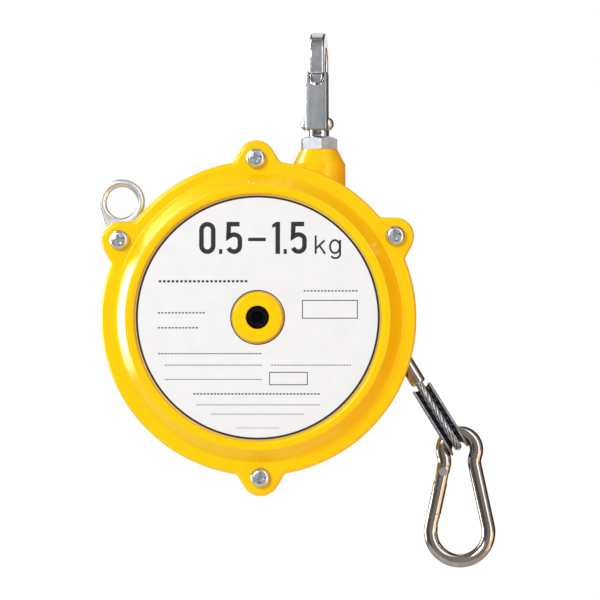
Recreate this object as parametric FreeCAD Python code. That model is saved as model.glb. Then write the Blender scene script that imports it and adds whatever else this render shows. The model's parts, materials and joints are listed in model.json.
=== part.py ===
import FreeCAD, Part
import math
import os

# Spring balancer for hand tools: a drum with a flat mainspring holds 1 m of wire rope.
# Millimetres, +Z up, front of the case towards -Y.
# Origin: the point of the top hook that the balancer hangs from.

V = FreeCAD.Vector
X_AXIS = V(1, 0, 0)
Y_AXIS = V(0, 1, 0)
Z_AXIS = V(0, 0, 1)

# ---------------------------------------------------------------- driving dimensions
# Case, measured from the drum axis; depths are along Y from the plane of the top hook
swivel_offset = 20.95         # drum axis to the top hook's axis
case_radius = 55.3
flange_width = 4.8            # flat rim around the raised face
flange_thickness = 4.0
edge_round = 1.7
bead_round = 1.2
foot_round = 1.0
slope_width = 4.5             # radial width of the cone up to the bead
slope_height = 6.0
bead_width = 2.9
plate_sink = 1.5              # face plate lies this far below the bead
plate_thickness = 0.4
plate_clearance = 0.5
wall = 2.5
parting_depth = 11.0          # parting plane in front of the hook's plane
rear_step = 0.5               # rear housing is smaller than the rim by this
rear_draft = 1.5
rear_round = 5.0
spigot_height = 1.5
spigot_wall = 1.6
spigot_clearance = 0.1

# Lugs, cover screws and safety eye
lug_turn = 0.8                # lugs lean this far when the case hangs
lug_angles = tuple(angle + lug_turn for angle in (30, 90, 150, 270))
lug_pitch_gap = 0.5           # screw circle outside the rim
lug_radius = 6.6
lug_base_half_width = 9.8
lug_root_inset = 0.3
rear_lug_depth = 14.0
screw_diameter = 4.0
screw_head_diameter = 7.0
screw_head_height = 2.6
screw_head_round = 1.4
screw_length = 13.0
screw_clearance = 0.3
eye_thickness = 4.5
eye_outer_radius = 8.15
eye_hole_radius = 5.5
eye_tail_radius = 4.2
eye_reach_x = 0.1             # eye centre from its screw
eye_reach_z = 13.7
eye_edge_chamfer = 0.5
eye_clearance = 0.2

# Shaft, hubs and bushes
shaft_diameter = 8.0
running_clearance = 0.05
front_boss_radius = 8.6
boss_round = 0.8
front_hub_depth = 7.0
socket_across_flats = 4.0
socket_depth = 6.0
shaft_chamfer = 0.7
shaft_recess = 0.6
arbor_diameter = 12.0
rear_boss_radius = 9.5
rear_boss_height = 2.0
rear_hub_inset = 0.6
shaft_end_gap = 0.4
washer_thickness = 0.4
washer_outer_radius = 7.5
bush_wall = 1.5
bush_stand_out = 2.0
axial_gap = 0.1
bound_slack = 0.01            # when edges are picked by their place

# Drum, rope and mainspring
rope_diameter = 2.4
rope_travel = 1000.0
drum_inset = 19.3             # case's rim to the rope's pitch circle
dead_wraps = 0.5
winding_pitch = 2.6
drum_flange_reach = 3.0       # flange outside the pitch circle
drum_flange_thickness = 1.6
drum_rim_thickness = 3.8
drum_web_thickness = 2.0
drum_cover_thickness = 1.2
drum_cover_inset = 1.6        # cover's edge inside the pitch circle
drum_hub_wall = 2.0
winding_side_gap = 0.3
drum_screw_count = 4
drum_screw_diameter = 2.0
drum_screw_head_radius = 1.9
drum_screw_head_height = 1.0
drum_screw_length = 5.0
drum_back_gap = 2.1           # drum's back face to the housing's inside
spring_strip_thickness = 0.4
spring_strip_width = 12.0
spring_turns = 8
spring_side_gap = 0.6
spring_end_gap = 0.6
rope_stop_radius = 1.5
rope_stop_gap = 0.15
rope_stop_angle = 200.0
rope_stop_length = 5.0
rope_run_gap = 0.1

# Ratchet that holds the mainspring's inner end
ratchet_teeth = 12
ratchet_tip_radius = 13.0
ratchet_tooth_depth = 2.2
ratchet_thickness = 3.0
ratchet_pin_diameter = 1.6
ratchet_pin_inset = 1.0
pawl_length = 12.0
pawl_thickness = 2.6
pawl_hub_radius = 3.6
pawl_tip_height = 2.6
pawl_gap = 0.15
pawl_relief = 0.35
pawl_pivot_rise = 4.7
pawl_beak_width = 1.25
pawl_beak_height = 2.45
spring_post_reach = 8.0
spring_post_rise = 3.0
spring_post_width = 2.5
pawl_pin_diameter = 4.0
pawl_pin_head_radius = 3.2
pawl_pin_head_height = 0.8
pawl_post_radius = 4.0
pawl_spring_thickness = 0.3

# Rope outlet
outlet_depth = -3.5           # rope plane, in front of the hook's plane
rope_angle = -58.5            # direction of the rope below the horizontal
outlet_boss_radius = 5.75
guide_radius = 4.75
guide_rope_hole = 1.7
guide_pocket_clearance = 0.3
guide_start = 29.0            # along the rope from where it leaves the drum
ferrule_front = 49.2
ferrule_length = 12.0
ferrule_diameter = 5.45
ferrule_round = 0.8
ferrule_stop_gap = 0.4

# Thimble and rope eye
thimble_gap = 1.6             # from the ferrule
thimble_length = 25.6
thimble_bend_radius = 7.0     # path of the channel's centre round the tip
thimble_channel_radius = 3.6
thimble_sheet = 1.0
thimble_rope_drop = 1.4       # rope lies this far inside the channel's centre

# Spring snap hook (carabiner)
snap_length = 50.0
snap_width = 25.2
snap_wire = 4.8
snap_eye_radius = 6.0         # wire centre line round the small end
snap_neck_half_gap = 5.25
snap_neck_bend = 6.0
gate_pivot_drop = 2.4         # pivot below the start of the straight side
gate_joint_height = 19.0      # joint above the lowest point
gate_gap = 0.25
gate_tongue = 1.8
gate_slot_clearance = 0.15
gate_lock_length = 4.0
gate_lock_thickness = 1.6
gate_pin_inset = 1.2
gate_pin_length = 3.6
gate_pin_relief = 0.5
gate_fork_extra = 1.5
gate_rivet_diameter = 1.8
gate_rivet_head_radius = 1.5
gate_rivet_head_height = 0.35
gate_pin_diameter = 2.0
gate_spring_thickness = 0.4

# Turret, swivel and top hook
turret_set_back = 0.05         # turret stays behind the cover's spigot
turret_top_radius = 6.8
turret_cone_height = 5.1
turret_rise = 3.7             # straight part above the rim, on the turret's axis
turret_seat_drop = 1.0        # inner seat below the housing's wall, at the washer's edge
shank_diameter = 6.0
collar_across_flats = 12.3
collar_height = 4.7
collar_turn = 42.0
collar_chamfer = 1.0
neck_diameter = 7.2
neck_height = 1.8
lock_nut_across_flats = 10.0
lock_nut_height = 5.0
shank_stub = 0.5
swivel_washer_radius = 6.2
swivel_washer_thickness = 0.9
hook_turn = -4.0              # hook's plane about the vertical
hook_reach = 30.0             # neck up to the hook's bearing point
hook_thickness = 5.2
hook_bowl_radius = 6.5
hook_crown = 5.5              # section over the bearing point
hook_back_width = 5.0
hook_nose_width = 4.6
hook_nose_drop = 11.4
hook_corner = 1.0
hook_nose_slant = 1.5
hook_edge_round = 0.8
latch_pivot_y = -7.0
latch_pivot_rise = 2.2        # above the neck
latch_sheet = 1.2
latch_width = 8.0
latch_web_top = 14.5          # above the latch's pivot
latch_web_bottom = 2.5        # below the latch's pivot
latch_flange_top = 18.5       # above the latch's pivot
latch_web_gap = 0.3
latch_bend_radius = 1.3       # outside of the sheet's bends
latch_dip = 1.1               # hollow in the web's upper edge
latch_boss_radius = 2.6
latch_flange_depth = 6.0
latch_rivet_diameter = 2.4
latch_rivet_head_radius = 2.4
latch_rivet_head_height = 1.8
latch_spring_wire = 0.4
latch_spring_rise = 6.0

# ---------------------------------------------------------------- derived positions
lug_pitch_radius = case_radius + lug_pitch_gap
eye_lug_angle = lug_angles[2]
parting_y = -parting_depth
turret_radius = parting_depth - spigot_height - turret_set_back
flange_y = parting_y - flange_thickness
bead_y = flange_y - slope_height
plate_y = bead_y + plate_sink
floor_y = plate_y + plate_thickness
slope_foot = case_radius - flange_width
slope_top = slope_foot - slope_width
recess_radius = slope_top - bead_width
rear_radius = case_radius - rear_step
rear_inner = rear_radius - wall

shaft_radius = shaft_diameter / 2
bore_radius = shaft_radius + running_clearance
front_hub_y = bead_y + front_hub_depth

drum_pitch_radius = case_radius - drum_inset
drum_flange_radius = drum_pitch_radius + drum_flange_reach
drum_cover_radius = drum_pitch_radius - drum_cover_inset
rope_radius = rope_diameter / 2
turns = rope_travel / (2 * math.pi * drum_pitch_radius) + dead_wraps
drum_surface = drum_pitch_radius - rope_radius
winding_start = outlet_depth - rope_radius
winding_end = outlet_depth + winding_pitch * turns + rope_radius
drum_front = winding_start - winding_side_gap
drum_back = winding_end + winding_side_gap
drum_front_face = drum_front - drum_flange_thickness
drum_back_face = drum_back + drum_flange_thickness
rear_inner_y = drum_back_face + drum_back_gap
rear_hub_y = rear_inner_y - rear_hub_inset
rear_depth = rear_inner_y + wall
cup_radius = drum_surface - drum_rim_thickness
cup_floor = drum_front_face + drum_web_thickness
cover_seat = drum_back_face - drum_cover_thickness
spring_front = cup_floor + spring_side_gap
arbor_back = cover_seat - axial_gap

rope_x = math.cos(math.radians(rope_angle))
rope_z = math.sin(math.radians(rope_angle))
ROPE_DIR = V(rope_x, 0, rope_z)
ROPE_SIDE = V(-rope_z, 0, rope_x)

screw_hole_radius = (screw_diameter + screw_clearance) / 2
screw_end_y = flange_y + screw_length + 1
shaft_end_y = rear_depth
ratchet_back = drum_front_face - bush_stand_out - axial_gap
ratchet_front = ratchet_back - ratchet_thickness
ratchet_root_radius = ratchet_tip_radius - ratchet_tooth_depth
pawl_front = ratchet_front + (ratchet_thickness - pawl_thickness) / 2
pawl_back = pawl_front + pawl_thickness
pawl_pin_radius = pawl_pin_diameter / 2
pawl_pin_start = floor_y + wall / 3
PAWL_PIVOT = V(pawl_length, 0, ratchet_root_radius + pawl_pivot_rise)
SPRING_POST = V(-spring_post_reach, floor_y + wall / 2, PAWL_PIVOT.z + spring_post_rise)
spring_post_height = pawl_back - SPRING_POST.y
hub_front_y = drum_front_face - bush_stand_out
hub_back_y = rear_hub_y - washer_thickness - 2 * axial_gap
drum_screw_end = drum_back_face - drum_screw_length

turret_shoulder = math.sqrt(case_radius ** 2 - swivel_offset ** 2) + turret_rise
turret_top = turret_shoulder + turret_cone_height
washer_edge = swivel_offset + swivel_washer_radius
turret_bottom = math.sqrt(rear_inner ** 2 - washer_edge ** 2) - turret_seat_drop
hang_height = turret_top + collar_height + neck_height + hook_reach
CASE_CENTRE = V(-swivel_offset, 0, -hang_height)
turret_top_z = turret_top - hang_height
turret_bottom_z = turret_bottom - hang_height
collar_top_z = turret_top_z + collar_height
neck_top_z = collar_top_z + neck_height
latch_pivot_z = neck_top_z + latch_pivot_rise
latch_web_top_z = latch_pivot_z + latch_web_top
latch_web_bottom_z = latch_pivot_z - latch_web_bottom
latch_flange_top_z = latch_pivot_z + latch_flange_top
thimble_start = ferrule_front + thimble_gap
thimble_tip = thimble_start + thimble_length
lock_nut_z = turret_bottom_z - 2 * axial_gap - swivel_washer_thickness - lock_nut_height


# ---------------------------------------------------------------- helpers
def outline(points, place):
    """Closed wire through corners (a, b, radius), each corner rounded by its radius."""
    corners = [V(a, b, 0) for a, b, _ in points]
    edges = []
    starts = []
    for i, (_, _, radius) in enumerate(points):
        corner = corners[i]
        before = (corners[i - 1] - corner).normalize()
        after = (corners[(i + 1) % len(points)] - corner).normalize()
        if radius == 0:
            starts.append((corner, None, corner))
            continue
        half = before.getAngle(after) / 2
        reach = radius / math.tan(half)
        centre = corner + (before + after).normalize() * (radius / math.sin(half))
        middle = centre + (corner - centre).normalize() * radius
        starts.append((corner + before * reach, middle, corner + after * reach))
    for i, (enter, middle, leave) in enumerate(starts):
        if middle is not None:
            edges.append(Part.Arc(place(enter), place(middle), place(leave)).toShape())
        following = starts[(i + 1) % len(starts)][0]
        if leave.distanceToPoint(following) > 1e-6:
            edges.append(Part.makeLine(place(leave), place(following)))
    return Part.Wire(edges)


def turned(points):
    """Solid of revolution about Y from corners (radius, y, rounding)."""
    wire = outline(points, lambda r, y=0: V(r.x, r.y, 0))
    return Part.Face(wire).revolve(V(0, 0, 0), Y_AXIS, 360)


def plate(points, start, thickness):
    """Flat piece from corners (x, z, rounding), thick along Y."""
    wire = outline(points, lambda p: V(p.x, start, p.y))
    return Part.Face(wire).extrude(V(0, thickness, 0))


def disc(radius, start, end, centre_x=0, centre_z=0):
    """Cylinder along Y between two depths."""
    return Part.makeCylinder(radius, end - start, V(centre_x, start, centre_z), Y_AXIS)


def ring(outer, inner, start, end, centre_x=0, centre_z=0):
    """Tube along Y between two depths."""
    hole = disc(inner, start - 1, end + 1, centre_x, centre_z)
    return disc(outer, start, end, centre_x, centre_z).cut(hole)


def hexagon(across_flats, base, axis, height, turn=0):
    """Hexagonal prism that stands on base along axis."""
    radius = across_flats / math.sqrt(3)
    angles = [math.radians(60 * i + turn) for i in range(7)]
    wire = Part.makePolygon([V(radius * math.cos(a), radius * math.sin(a), 0) for a in angles])
    prism = Part.Face(wire).extrude(V(0, 0, height))
    prism.Placement = FreeCAD.Placement(base, FreeCAD.Rotation(Z_AXIS, axis))
    return prism


def on_rope(along, side=0, depth=0):
    """Point in the case's frame, from where the straight rope leaves the drum."""
    return ROPE_SIDE * (drum_pitch_radius + side) + ROPE_DIR * along + V(0, outlet_depth + depth, 0)


def rope_rod(radius, start, end):
    """Cylinder on the rope's line between two stations."""
    return Part.makeCylinder(radius, end - start, on_rope(start), ROPE_DIR)


def polar(radius, degrees, y=0):
    angle = math.radians(degrees)
    return V(radius * math.cos(angle), y, radius * math.sin(angle))


# ---------------------------------------------------------------- case
def lug(angle, start, depth):
    """Ear for a cover screw: a round tip with straight flanks that run into the rim."""
    root_radius = case_radius - edge_round - lug_root_inset
    base = math.sqrt(root_radius ** 2 - lug_base_half_width ** 2)
    distance = lug_pitch_radius - base
    reach = math.hypot(distance, lug_base_half_width)
    swing = math.pi - math.atan2(lug_base_half_width, distance) - math.acos(lug_radius / reach)
    touch_x = lug_pitch_radius + lug_radius * math.cos(swing)
    touch_z = lug_radius * math.sin(swing)
    inner = base - edge_round
    tip = Part.Arc(V(touch_x, 0, -touch_z), V(lug_pitch_radius + lug_radius, 0, 0), V(touch_x, 0, touch_z))
    rest = Part.makePolygon([
        V(touch_x, 0, touch_z),
        V(base, 0, lug_base_half_width),
        V(inner, 0, lug_base_half_width),
        V(inner, 0, -lug_base_half_width),
        V(base, 0, -lug_base_half_width),
        V(touch_x, 0, -touch_z),
    ])
    face = Part.Face(Part.Wire([tip.toShape()] + rest.Edges))
    face.translate(V(0, start, 0))
    solid = face.extrude(V(0, depth, 0))
    solid.rotate(V(0, 0, 0), Y_AXIS, -angle)
    return solid


def make_safety_eye(grow=0):
    """Teardrop steel link, clamped under the cover screw of one lug."""
    tail = polar(lug_pitch_radius, eye_lug_angle, parting_y)
    centre = tail + V(eye_reach_x, 0, eye_reach_z)
    along = (centre - tail).normalize()
    side = V(along.z, 0, -along.x)
    eye_radius = eye_outer_radius + grow
    tail_radius = eye_tail_radius + grow
    lean = math.asin((eye_radius - tail_radius) / centre.distanceToPoint(tail))
    right = side * math.cos(lean) - along * math.sin(lean)
    left = side * -math.cos(lean) - along * math.sin(lean)
    loop = Part.Wire([
        Part.makeLine(tail + right * tail_radius, centre + right * eye_radius),
        Part.Arc(
            centre + right * eye_radius, centre + along * eye_radius, centre + left * eye_radius
        ).toShape(),
        Part.makeLine(centre + left * eye_radius, tail + left * tail_radius),
        Part.Arc(
            tail + left * tail_radius, tail - along * tail_radius, tail + right * tail_radius
        ).toShape(),
    ])
    link = Part.Face(loop).extrude(V(0, eye_thickness + grow, 0))
    if grow:
        return link
    back = parting_y + eye_thickness
    link = link.makeChamfer(eye_edge_chamfer, [e for e in link.Edges if e.Length > eye_thickness + 1])
    link = link.cut(disc(eye_hole_radius, parting_y - 1, back + 1, centre.x, centre.z))
    return link.cut(disc(screw_hole_radius, parting_y - 1, back + 1, tail.x, tail.z))


def make_front_cover():
    """Round cover with a flat rim, a steep cone up to a bead, and a sunk floor for the face plate."""
    slope = math.atan2(slope_height, slope_width)
    shift_r = -wall * math.sin(slope)
    shift_y = wall * math.cos(slope)
    inner_flange_y = flange_y + wall
    inner_floor_y = floor_y + wall
    run = slope_width / slope_height
    foot_inner = slope_foot + shift_r + (inner_flange_y - flange_y - shift_y) * run
    top_inner = slope_foot + shift_r + (inner_floor_y - flange_y - shift_y) * run
    spigot_radius = rear_inner - spigot_clearance
    spigot_y = parting_y + spigot_height
    cover = turned([
        (bore_radius, bead_y, 0),
        (front_boss_radius, bead_y, boss_round),
        (front_boss_radius, floor_y, 0),
        (recess_radius, floor_y, 0),
        (recess_radius, bead_y, bead_round),
        (slope_top, bead_y, bead_round),
        (slope_foot, flange_y, foot_round),
        (case_radius, flange_y, edge_round),
        (case_radius, parting_y, 0),
        (spigot_radius, parting_y, 0),
        (spigot_radius, spigot_y, 0),
        (spigot_radius - spigot_wall, spigot_y, 0),
        (spigot_radius - spigot_wall, inner_flange_y, 0),
        (foot_inner, inner_flange_y, 0),
        (top_inner, inner_floor_y, 0),
        (front_boss_radius, inner_floor_y, 0),
        (front_boss_radius, front_hub_y, 0),
        (bore_radius, front_hub_y, 0),
    ])
    for angle in lug_angles:
        cover = cover.fuse(lug(angle, flange_y, flange_thickness))
        place = polar(lug_pitch_radius, angle)
        cover = cover.cut(disc(screw_hole_radius, flange_y - 1, spigot_y + 1, place.x, place.z))
    post = disc(pawl_post_radius, floor_y + wall / 2, pawl_front - axial_gap, PAWL_PIVOT.x, PAWL_PIVOT.z)
    cover = cover.fuse(post)
    cover = cover.cut(disc(pawl_pin_radius, pawl_pin_start, 0, PAWL_PIVOT.x, PAWL_PIVOT.z))
    slot = Part.makeBox(spring_post_width, spring_post_height, spring_post_width)
    slot.translate(SPRING_POST + V(-spring_post_width / 2, 0, -spring_post_width / 2))
    cover = cover.fuse(slot)
    return cover.cut(make_safety_eye(eye_clearance)).removeSplitter()


def make_rear_housing():
    """Deep rear shell with the turret for the hook, the rope outlet and the screw lugs."""
    back_radius = rear_radius - rear_draft
    inner_back_radius = back_radius - wall
    shell = turned([
        (0, rear_hub_y, 0),
        (rear_boss_radius, rear_hub_y, 0),
        (rear_boss_radius, rear_inner_y, 0),
        (inner_back_radius, rear_inner_y, rear_round - wall),
        (rear_inner, parting_y, 0),
        (rear_radius, parting_y, 0),
        (back_radius, rear_depth, rear_round),
        (rear_boss_radius, rear_depth, 0),
        (rear_boss_radius, rear_depth + rear_boss_height, boss_round),
        (0, rear_depth + rear_boss_height, 0),
    ])
    bounds = disc(rear_radius, parting_y, rear_depth)
    cavity = turned([
        (0, parting_y, 0),
        (rear_inner, parting_y, 0),
        (inner_back_radius, rear_inner_y, rear_round - wall),
        (0, rear_inner_y, 0),
    ])
    shell = shell.fuse(rope_rod(outlet_boss_radius, guide_start, thimble_start).common(bounds))
    for angle in lug_angles:
        ear = lug(angle, parting_y, rear_lug_depth).cut(cavity)
        shell = shell.fuse(ear)
        place = polar(lug_pitch_radius, angle)
        shell = shell.cut(disc(screw_diameter / 2, parting_y - 1, screw_end_y, place.x, place.z))
    turret_base = Part.makeCylinder(turret_radius, turret_shoulder - turret_bottom,
                                    V(swivel_offset, 0, turret_bottom))
    turret_cone = Part.makeCone(turret_radius, turret_top_radius, turret_cone_height,
                                V(swivel_offset, 0, turret_shoulder))
    shell = shell.fuse(turret_base).fuse(turret_cone)
    shank_hole = Part.makeCylinder(shank_diameter / 2 + running_clearance, turret_top - turret_bottom + 2,
                                   V(swivel_offset, 0, turret_bottom - 1))
    shell = shell.cut(shank_hole)
    shell = shell.cut(disc(bore_radius, rear_hub_y - 1, shaft_end_y + shaft_end_gap))
    shell = shell.cut(rope_rod(guide_radius, guide_start - 1, thimble_start))
    return shell.cut(make_safety_eye(eye_clearance)).removeSplitter()


def make_cover_screws():
    screws = []
    for angle in lug_angles:
        place = polar(lug_pitch_radius, angle)
        head = disc(screw_head_diameter / 2, flange_y - screw_head_height, flange_y, place.x, place.z)
        rim = [e for e in head.Edges if e.BoundBox.YMax < flange_y - screw_head_height + 0.01]
        head = head.makeFillet(screw_head_round, rim)
        shank = disc(screw_diameter / 2, flange_y, flange_y + screw_length, place.x, place.z)
        screws.append(head.fuse(shank))
    return Part.Compound(screws)


def make_nameplate():
    """Printed face plate: bare disc with a hole for the boss."""
    return ring(recess_radius - plate_clearance, front_boss_radius + plate_clearance, plate_y, floor_y)


def make_guide_bush():
    """Hard bush in the outlet: a rope hole, then a pocket that takes the ferrule."""
    bush = rope_rod(guide_radius, guide_start, thimble_start)
    bush = bush.common(disc(rear_radius, parting_y, rear_depth))
    bush = bush.cut(rope_rod(guide_rope_hole, guide_start - 1, thimble_start))
    pocket_start = ferrule_front - ferrule_length - ferrule_stop_gap
    return bush.cut(rope_rod(ferrule_diameter / 2 + guide_pocket_clearance, pocket_start, thimble_start))


# ---------------------------------------------------------------- adjuster and ratchet
def make_adjuster_shaft():
    """Shaft that the drum turns on: journal with a hexagon socket, arbor for the mainspring, journal."""
    front = bead_y + shaft_recess
    shaft = disc(shaft_radius, front, shaft_end_y)
    rim = [edge for edge in shaft.Edges if edge.BoundBox.YMax < front + shaft_chamfer]
    shaft = shaft.makeChamfer(shaft_chamfer, rim)
    shaft = shaft.fuse(disc(arbor_diameter / 2, cup_floor + axial_gap, arbor_back))
    shaft = shaft.cut(hexagon(socket_across_flats, V(0, front, 0), Y_AXIS, socket_depth))
    shaft = shaft.cut(ratchet_pin(0))
    return shaft.removeSplitter()


def ratchet_pin(gap):
    middle = (ratchet_front + ratchet_back) / 2
    reach = ratchet_root_radius - ratchet_pin_inset
    return Part.makeCylinder(ratchet_pin_diameter / 2 + gap, 2 * reach, V(-reach, middle, 0), X_AXIS)


def make_ratchet_wheel():
    """Saw-toothed wheel; its steep faces look clockwise as seen from the front."""
    pitch = 360 / ratchet_teeth
    points = []
    for i in range(ratchet_teeth):
        steep = 90 + i * pitch
        points.append(polar(ratchet_root_radius, steep, ratchet_front))
        points.append(polar(ratchet_tip_radius, steep, ratchet_front))
        points.append(polar(ratchet_root_radius + ratchet_tooth_depth / 2, steep + pitch / 2, ratchet_front))
    wheel = Part.Face(Part.makePolygon(points + points[:1])).extrude(V(0, ratchet_thickness, 0))
    return wheel.cut(disc(shaft_radius, ratchet_front - 1, ratchet_back + 1)).cut(ratchet_pin(0))


def make_pawl():
    """Catch that stops the wheel from turning clockwise."""
    tip_z = ratchet_root_radius + pawl_gap
    tip_x = pawl_gap
    body = plate([
        (tip_x, tip_z, 0),
        (tip_x + pawl_beak_width, tip_z + pawl_relief, 0),
        (tip_x + pawl_beak_width + pawl_beak_height * 0.7, tip_z + pawl_beak_height, 0),
        (PAWL_PIVOT.x, PAWL_PIVOT.z - pawl_hub_radius, 0),
        (PAWL_PIVOT.x, PAWL_PIVOT.z + pawl_hub_radius, 0),
        (tip_x, tip_z + pawl_tip_height, 0),
    ], pawl_front, pawl_thickness)
    body = body.fuse(disc(pawl_hub_radius, pawl_front, pawl_back, PAWL_PIVOT.x, PAWL_PIVOT.z))
    return body.cut(disc(pawl_pin_radius + running_clearance, pawl_front - 1, pawl_back + 1,
                         PAWL_PIVOT.x, PAWL_PIVOT.z)).removeSplitter()


def make_pawl_pin():
    pin = disc(pawl_pin_radius, pawl_pin_start, pawl_back + axial_gap, PAWL_PIVOT.x, PAWL_PIVOT.z)
    head_start = pawl_back + axial_gap
    return pin.fuse(disc(pawl_pin_head_radius, head_start, head_start + pawl_pin_head_height,
                         PAWL_PIVOT.x, PAWL_PIVOT.z)).removeSplitter()


def make_pawl_spring():
    """Leaf from the cover's post to the back of the pawl."""
    post_x = SPRING_POST.x + spring_post_width / 2
    tip_z = ratchet_root_radius + pawl_gap + pawl_tip_height
    back_slope = (PAWL_PIVOT.z + pawl_hub_radius - tip_z) / (PAWL_PIVOT.x - pawl_gap)
    rest_x = pawl_gap + pawl_tip_height
    rest_z = tip_z + back_slope * rest_x + axial_gap
    post_z = SPRING_POST.z + spring_post_width / 2 - pawl_spring_thickness
    return plate([
        (post_x, post_z, 0),
        (rest_x, rest_z, 0),
        (rest_x + pawl_spring_thickness, rest_z + pawl_spring_thickness, 0),
        (post_x, post_z + pawl_spring_thickness, 0),
    ], pawl_front + axial_gap, pawl_thickness - 2 * axial_gap)


# ---------------------------------------------------------------- drum
def make_drum():
    """Rope drum: two flanges, a rim that the rope lies on, and a cup for the mainspring."""
    hub_radius = bore_radius + bush_wall + drum_hub_wall
    drum = turned([
        (bore_radius + bush_wall, hub_front_y, 0),
        (hub_radius, hub_front_y, 0),
        (hub_radius, drum_front_face, 0),
        (drum_flange_radius, drum_front_face, 0),
        (drum_flange_radius, drum_front, 0),
        (drum_surface, drum_front, 0),
        (drum_surface, drum_back, 0),
        (drum_flange_radius, drum_back, 0),
        (drum_flange_radius, drum_back_face, 0),
        (drum_cover_radius, drum_back_face, 0),
        (drum_cover_radius, cover_seat, 0),
        (cup_radius, cover_seat, 0),
        (cup_radius, cup_floor, 0),
        (bore_radius + bush_wall, cup_floor, 0),
    ])
    for place in drum_screw_places():
        drum = drum.cut(disc(drum_screw_diameter / 2, drum_screw_end, drum_back_face, place.x, place.z))
    return drum.cut(rope_stop(rope_stop_gap))


def drum_screw_places():
    radius = cup_radius + drum_rim_thickness / 2
    return [polar(radius, 45 + 360 * i / drum_screw_count) for i in range(drum_screw_count)]


def make_drum_cover():
    hub_radius = bore_radius + bush_wall + drum_hub_wall
    cover = turned([
        (bore_radius + bush_wall, cover_seat, 0),
        (drum_cover_radius - axial_gap, cover_seat, 0),
        (drum_cover_radius - axial_gap, drum_back_face, 0),
        (hub_radius, drum_back_face, 0),
        (hub_radius, hub_back_y, 0),
        (bore_radius + bush_wall, hub_back_y, 0),
    ])
    for place in drum_screw_places():
        cover = cover.cut(disc(drum_screw_diameter / 2, cover_seat - 1, drum_back_face + 1, place.x, place.z))
    return cover


def make_drum_cover_screws():
    screws = []
    for place in drum_screw_places():
        head = disc(drum_screw_head_radius, drum_back_face, drum_back_face + drum_screw_head_height,
                    place.x, place.z)
        shank = disc(drum_screw_diameter / 2, drum_back_face - drum_screw_length, drum_back_face,
                     place.x, place.z)
        screws.append(head.fuse(shank))
    return Part.Compound(screws)


def make_mainspring():
    """Flat strip wound from the arbor out to the drum's cup, in half turns of growing radius."""
    inner = arbor_diameter / 2 + spring_end_gap
    outer = cup_radius - spring_end_gap - spring_strip_thickness
    half_turns = 2 * spring_turns
    growth = (outer - inner) / half_turns
    side_wires = []
    for offset in (0, spring_strip_thickness):
        arcs = []
        x = inner + offset
        direction = 1
        radius = inner + offset
        for _ in range(half_turns):
            centre_x = x - direction * radius
            arcs.append(Part.Arc(V(x, spring_front, 0),
                                 V(centre_x, spring_front, direction * radius),
                                 V(centre_x - direction * radius, spring_front, 0)).toShape())
            x = centre_x - direction * radius
            direction = -direction
            radius += growth
        side_wires.append(arcs)
    inside, outside = side_wires
    start = Part.makeLine(inside[0].Vertexes[0].Point, outside[0].Vertexes[0].Point)
    end = Part.makeLine(inside[-1].Vertexes[-1].Point, outside[-1].Vertexes[-1].Point)
    loop = Part.Wire(Part.__sortEdges__(inside + outside + [start, end]))
    return Part.Face(loop).extrude(V(0, spring_strip_width, 0))


def make_rope_winding():
    """The wound rope as one ribbed sleeve, a rib to each turn."""
    points = [(drum_surface, winding_start, 0)]
    ribs = int(turns)
    width = (winding_end - winding_start) / ribs
    outer = drum_pitch_radius + rope_radius
    for i in range(ribs):
        start = winding_start + i * width
        points.append((outer - rope_radius / 2, start, 0))
        points.append((outer, start + width / 4, 0))
        points.append((outer, start + width * 3 / 4, 0))
    points.append((outer - rope_radius / 2, winding_end, 0))
    points.append((drum_surface, winding_end, 0))
    return turned(points)


def rope_stop(grow):
    """Pressed stop on the rope's dead end, across the rear flange."""
    reach = drum_surface + rope_stop_radius + rope_stop_gap
    centre = polar(reach, rope_stop_angle, winding_end + rope_stop_radius)
    side = polar(1, rope_stop_angle + 90)
    half = rope_stop_length / 2 + grow
    return Part.makeCylinder(rope_stop_radius + grow, 2 * half, centre - side * half, side)


def make_thrust_washer(start):
    return ring(washer_outer_radius, bore_radius + axial_gap, start, start + washer_thickness)


# ---------------------------------------------------------------- rope end
def make_rope_run():
    """Straight rope from the winding to the ferrule."""
    run = rope_rod(rope_radius, 0, ferrule_front - ferrule_length)
    return run.cut(disc(drum_pitch_radius + rope_radius + rope_run_gap, parting_y, rear_depth))


def make_ferrule():
    sleeve = rope_rod(ferrule_diameter / 2, ferrule_front - ferrule_length, ferrule_front)
    return sleeve.makeFillet(ferrule_round, [e for e in sleeve.Edges if len(e.Vertexes) == 1])


def loop_path(bend_radius, start, start_offset):
    """Half of the loop round the thimble: a leg from the ferrule, then a quarter turn to the tip."""
    bend = thimble_tip - thimble_bend_radius
    span = bend - start
    drop = bend_radius - start_offset
    swing = math.asin(drop / span)
    touch = on_rope(bend - bend_radius * math.sin(swing), 0, bend_radius * math.cos(swing))
    middle = math.pi / 4 - swing / 2
    centre = on_rope(bend)
    half = centre + ROPE_DIR * bend_radius * math.sin(middle) + Y_AXIS * bend_radius * math.cos(middle)
    tip = on_rope(bend + bend_radius)
    begin = touch - (ROPE_DIR * math.cos(swing) + Y_AXIS * math.sin(swing)) * (
        span * math.cos(swing))
    return Part.Wire([Part.makeLine(begin, touch), Part.Arc(touch, half, tip).toShape()]), begin, swing


def mirrored(half):
    """Half plus its mirror image in the rope's plane, as one solid."""
    far = 2 * thimble_tip
    keep = Part.makeBox(2 * far, far, 2 * far, V(-far, outlet_depth, -far))
    half = half.common(keep)
    return half.fuse(half.mirror(on_rope(0), Y_AXIS)).removeSplitter()


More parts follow.
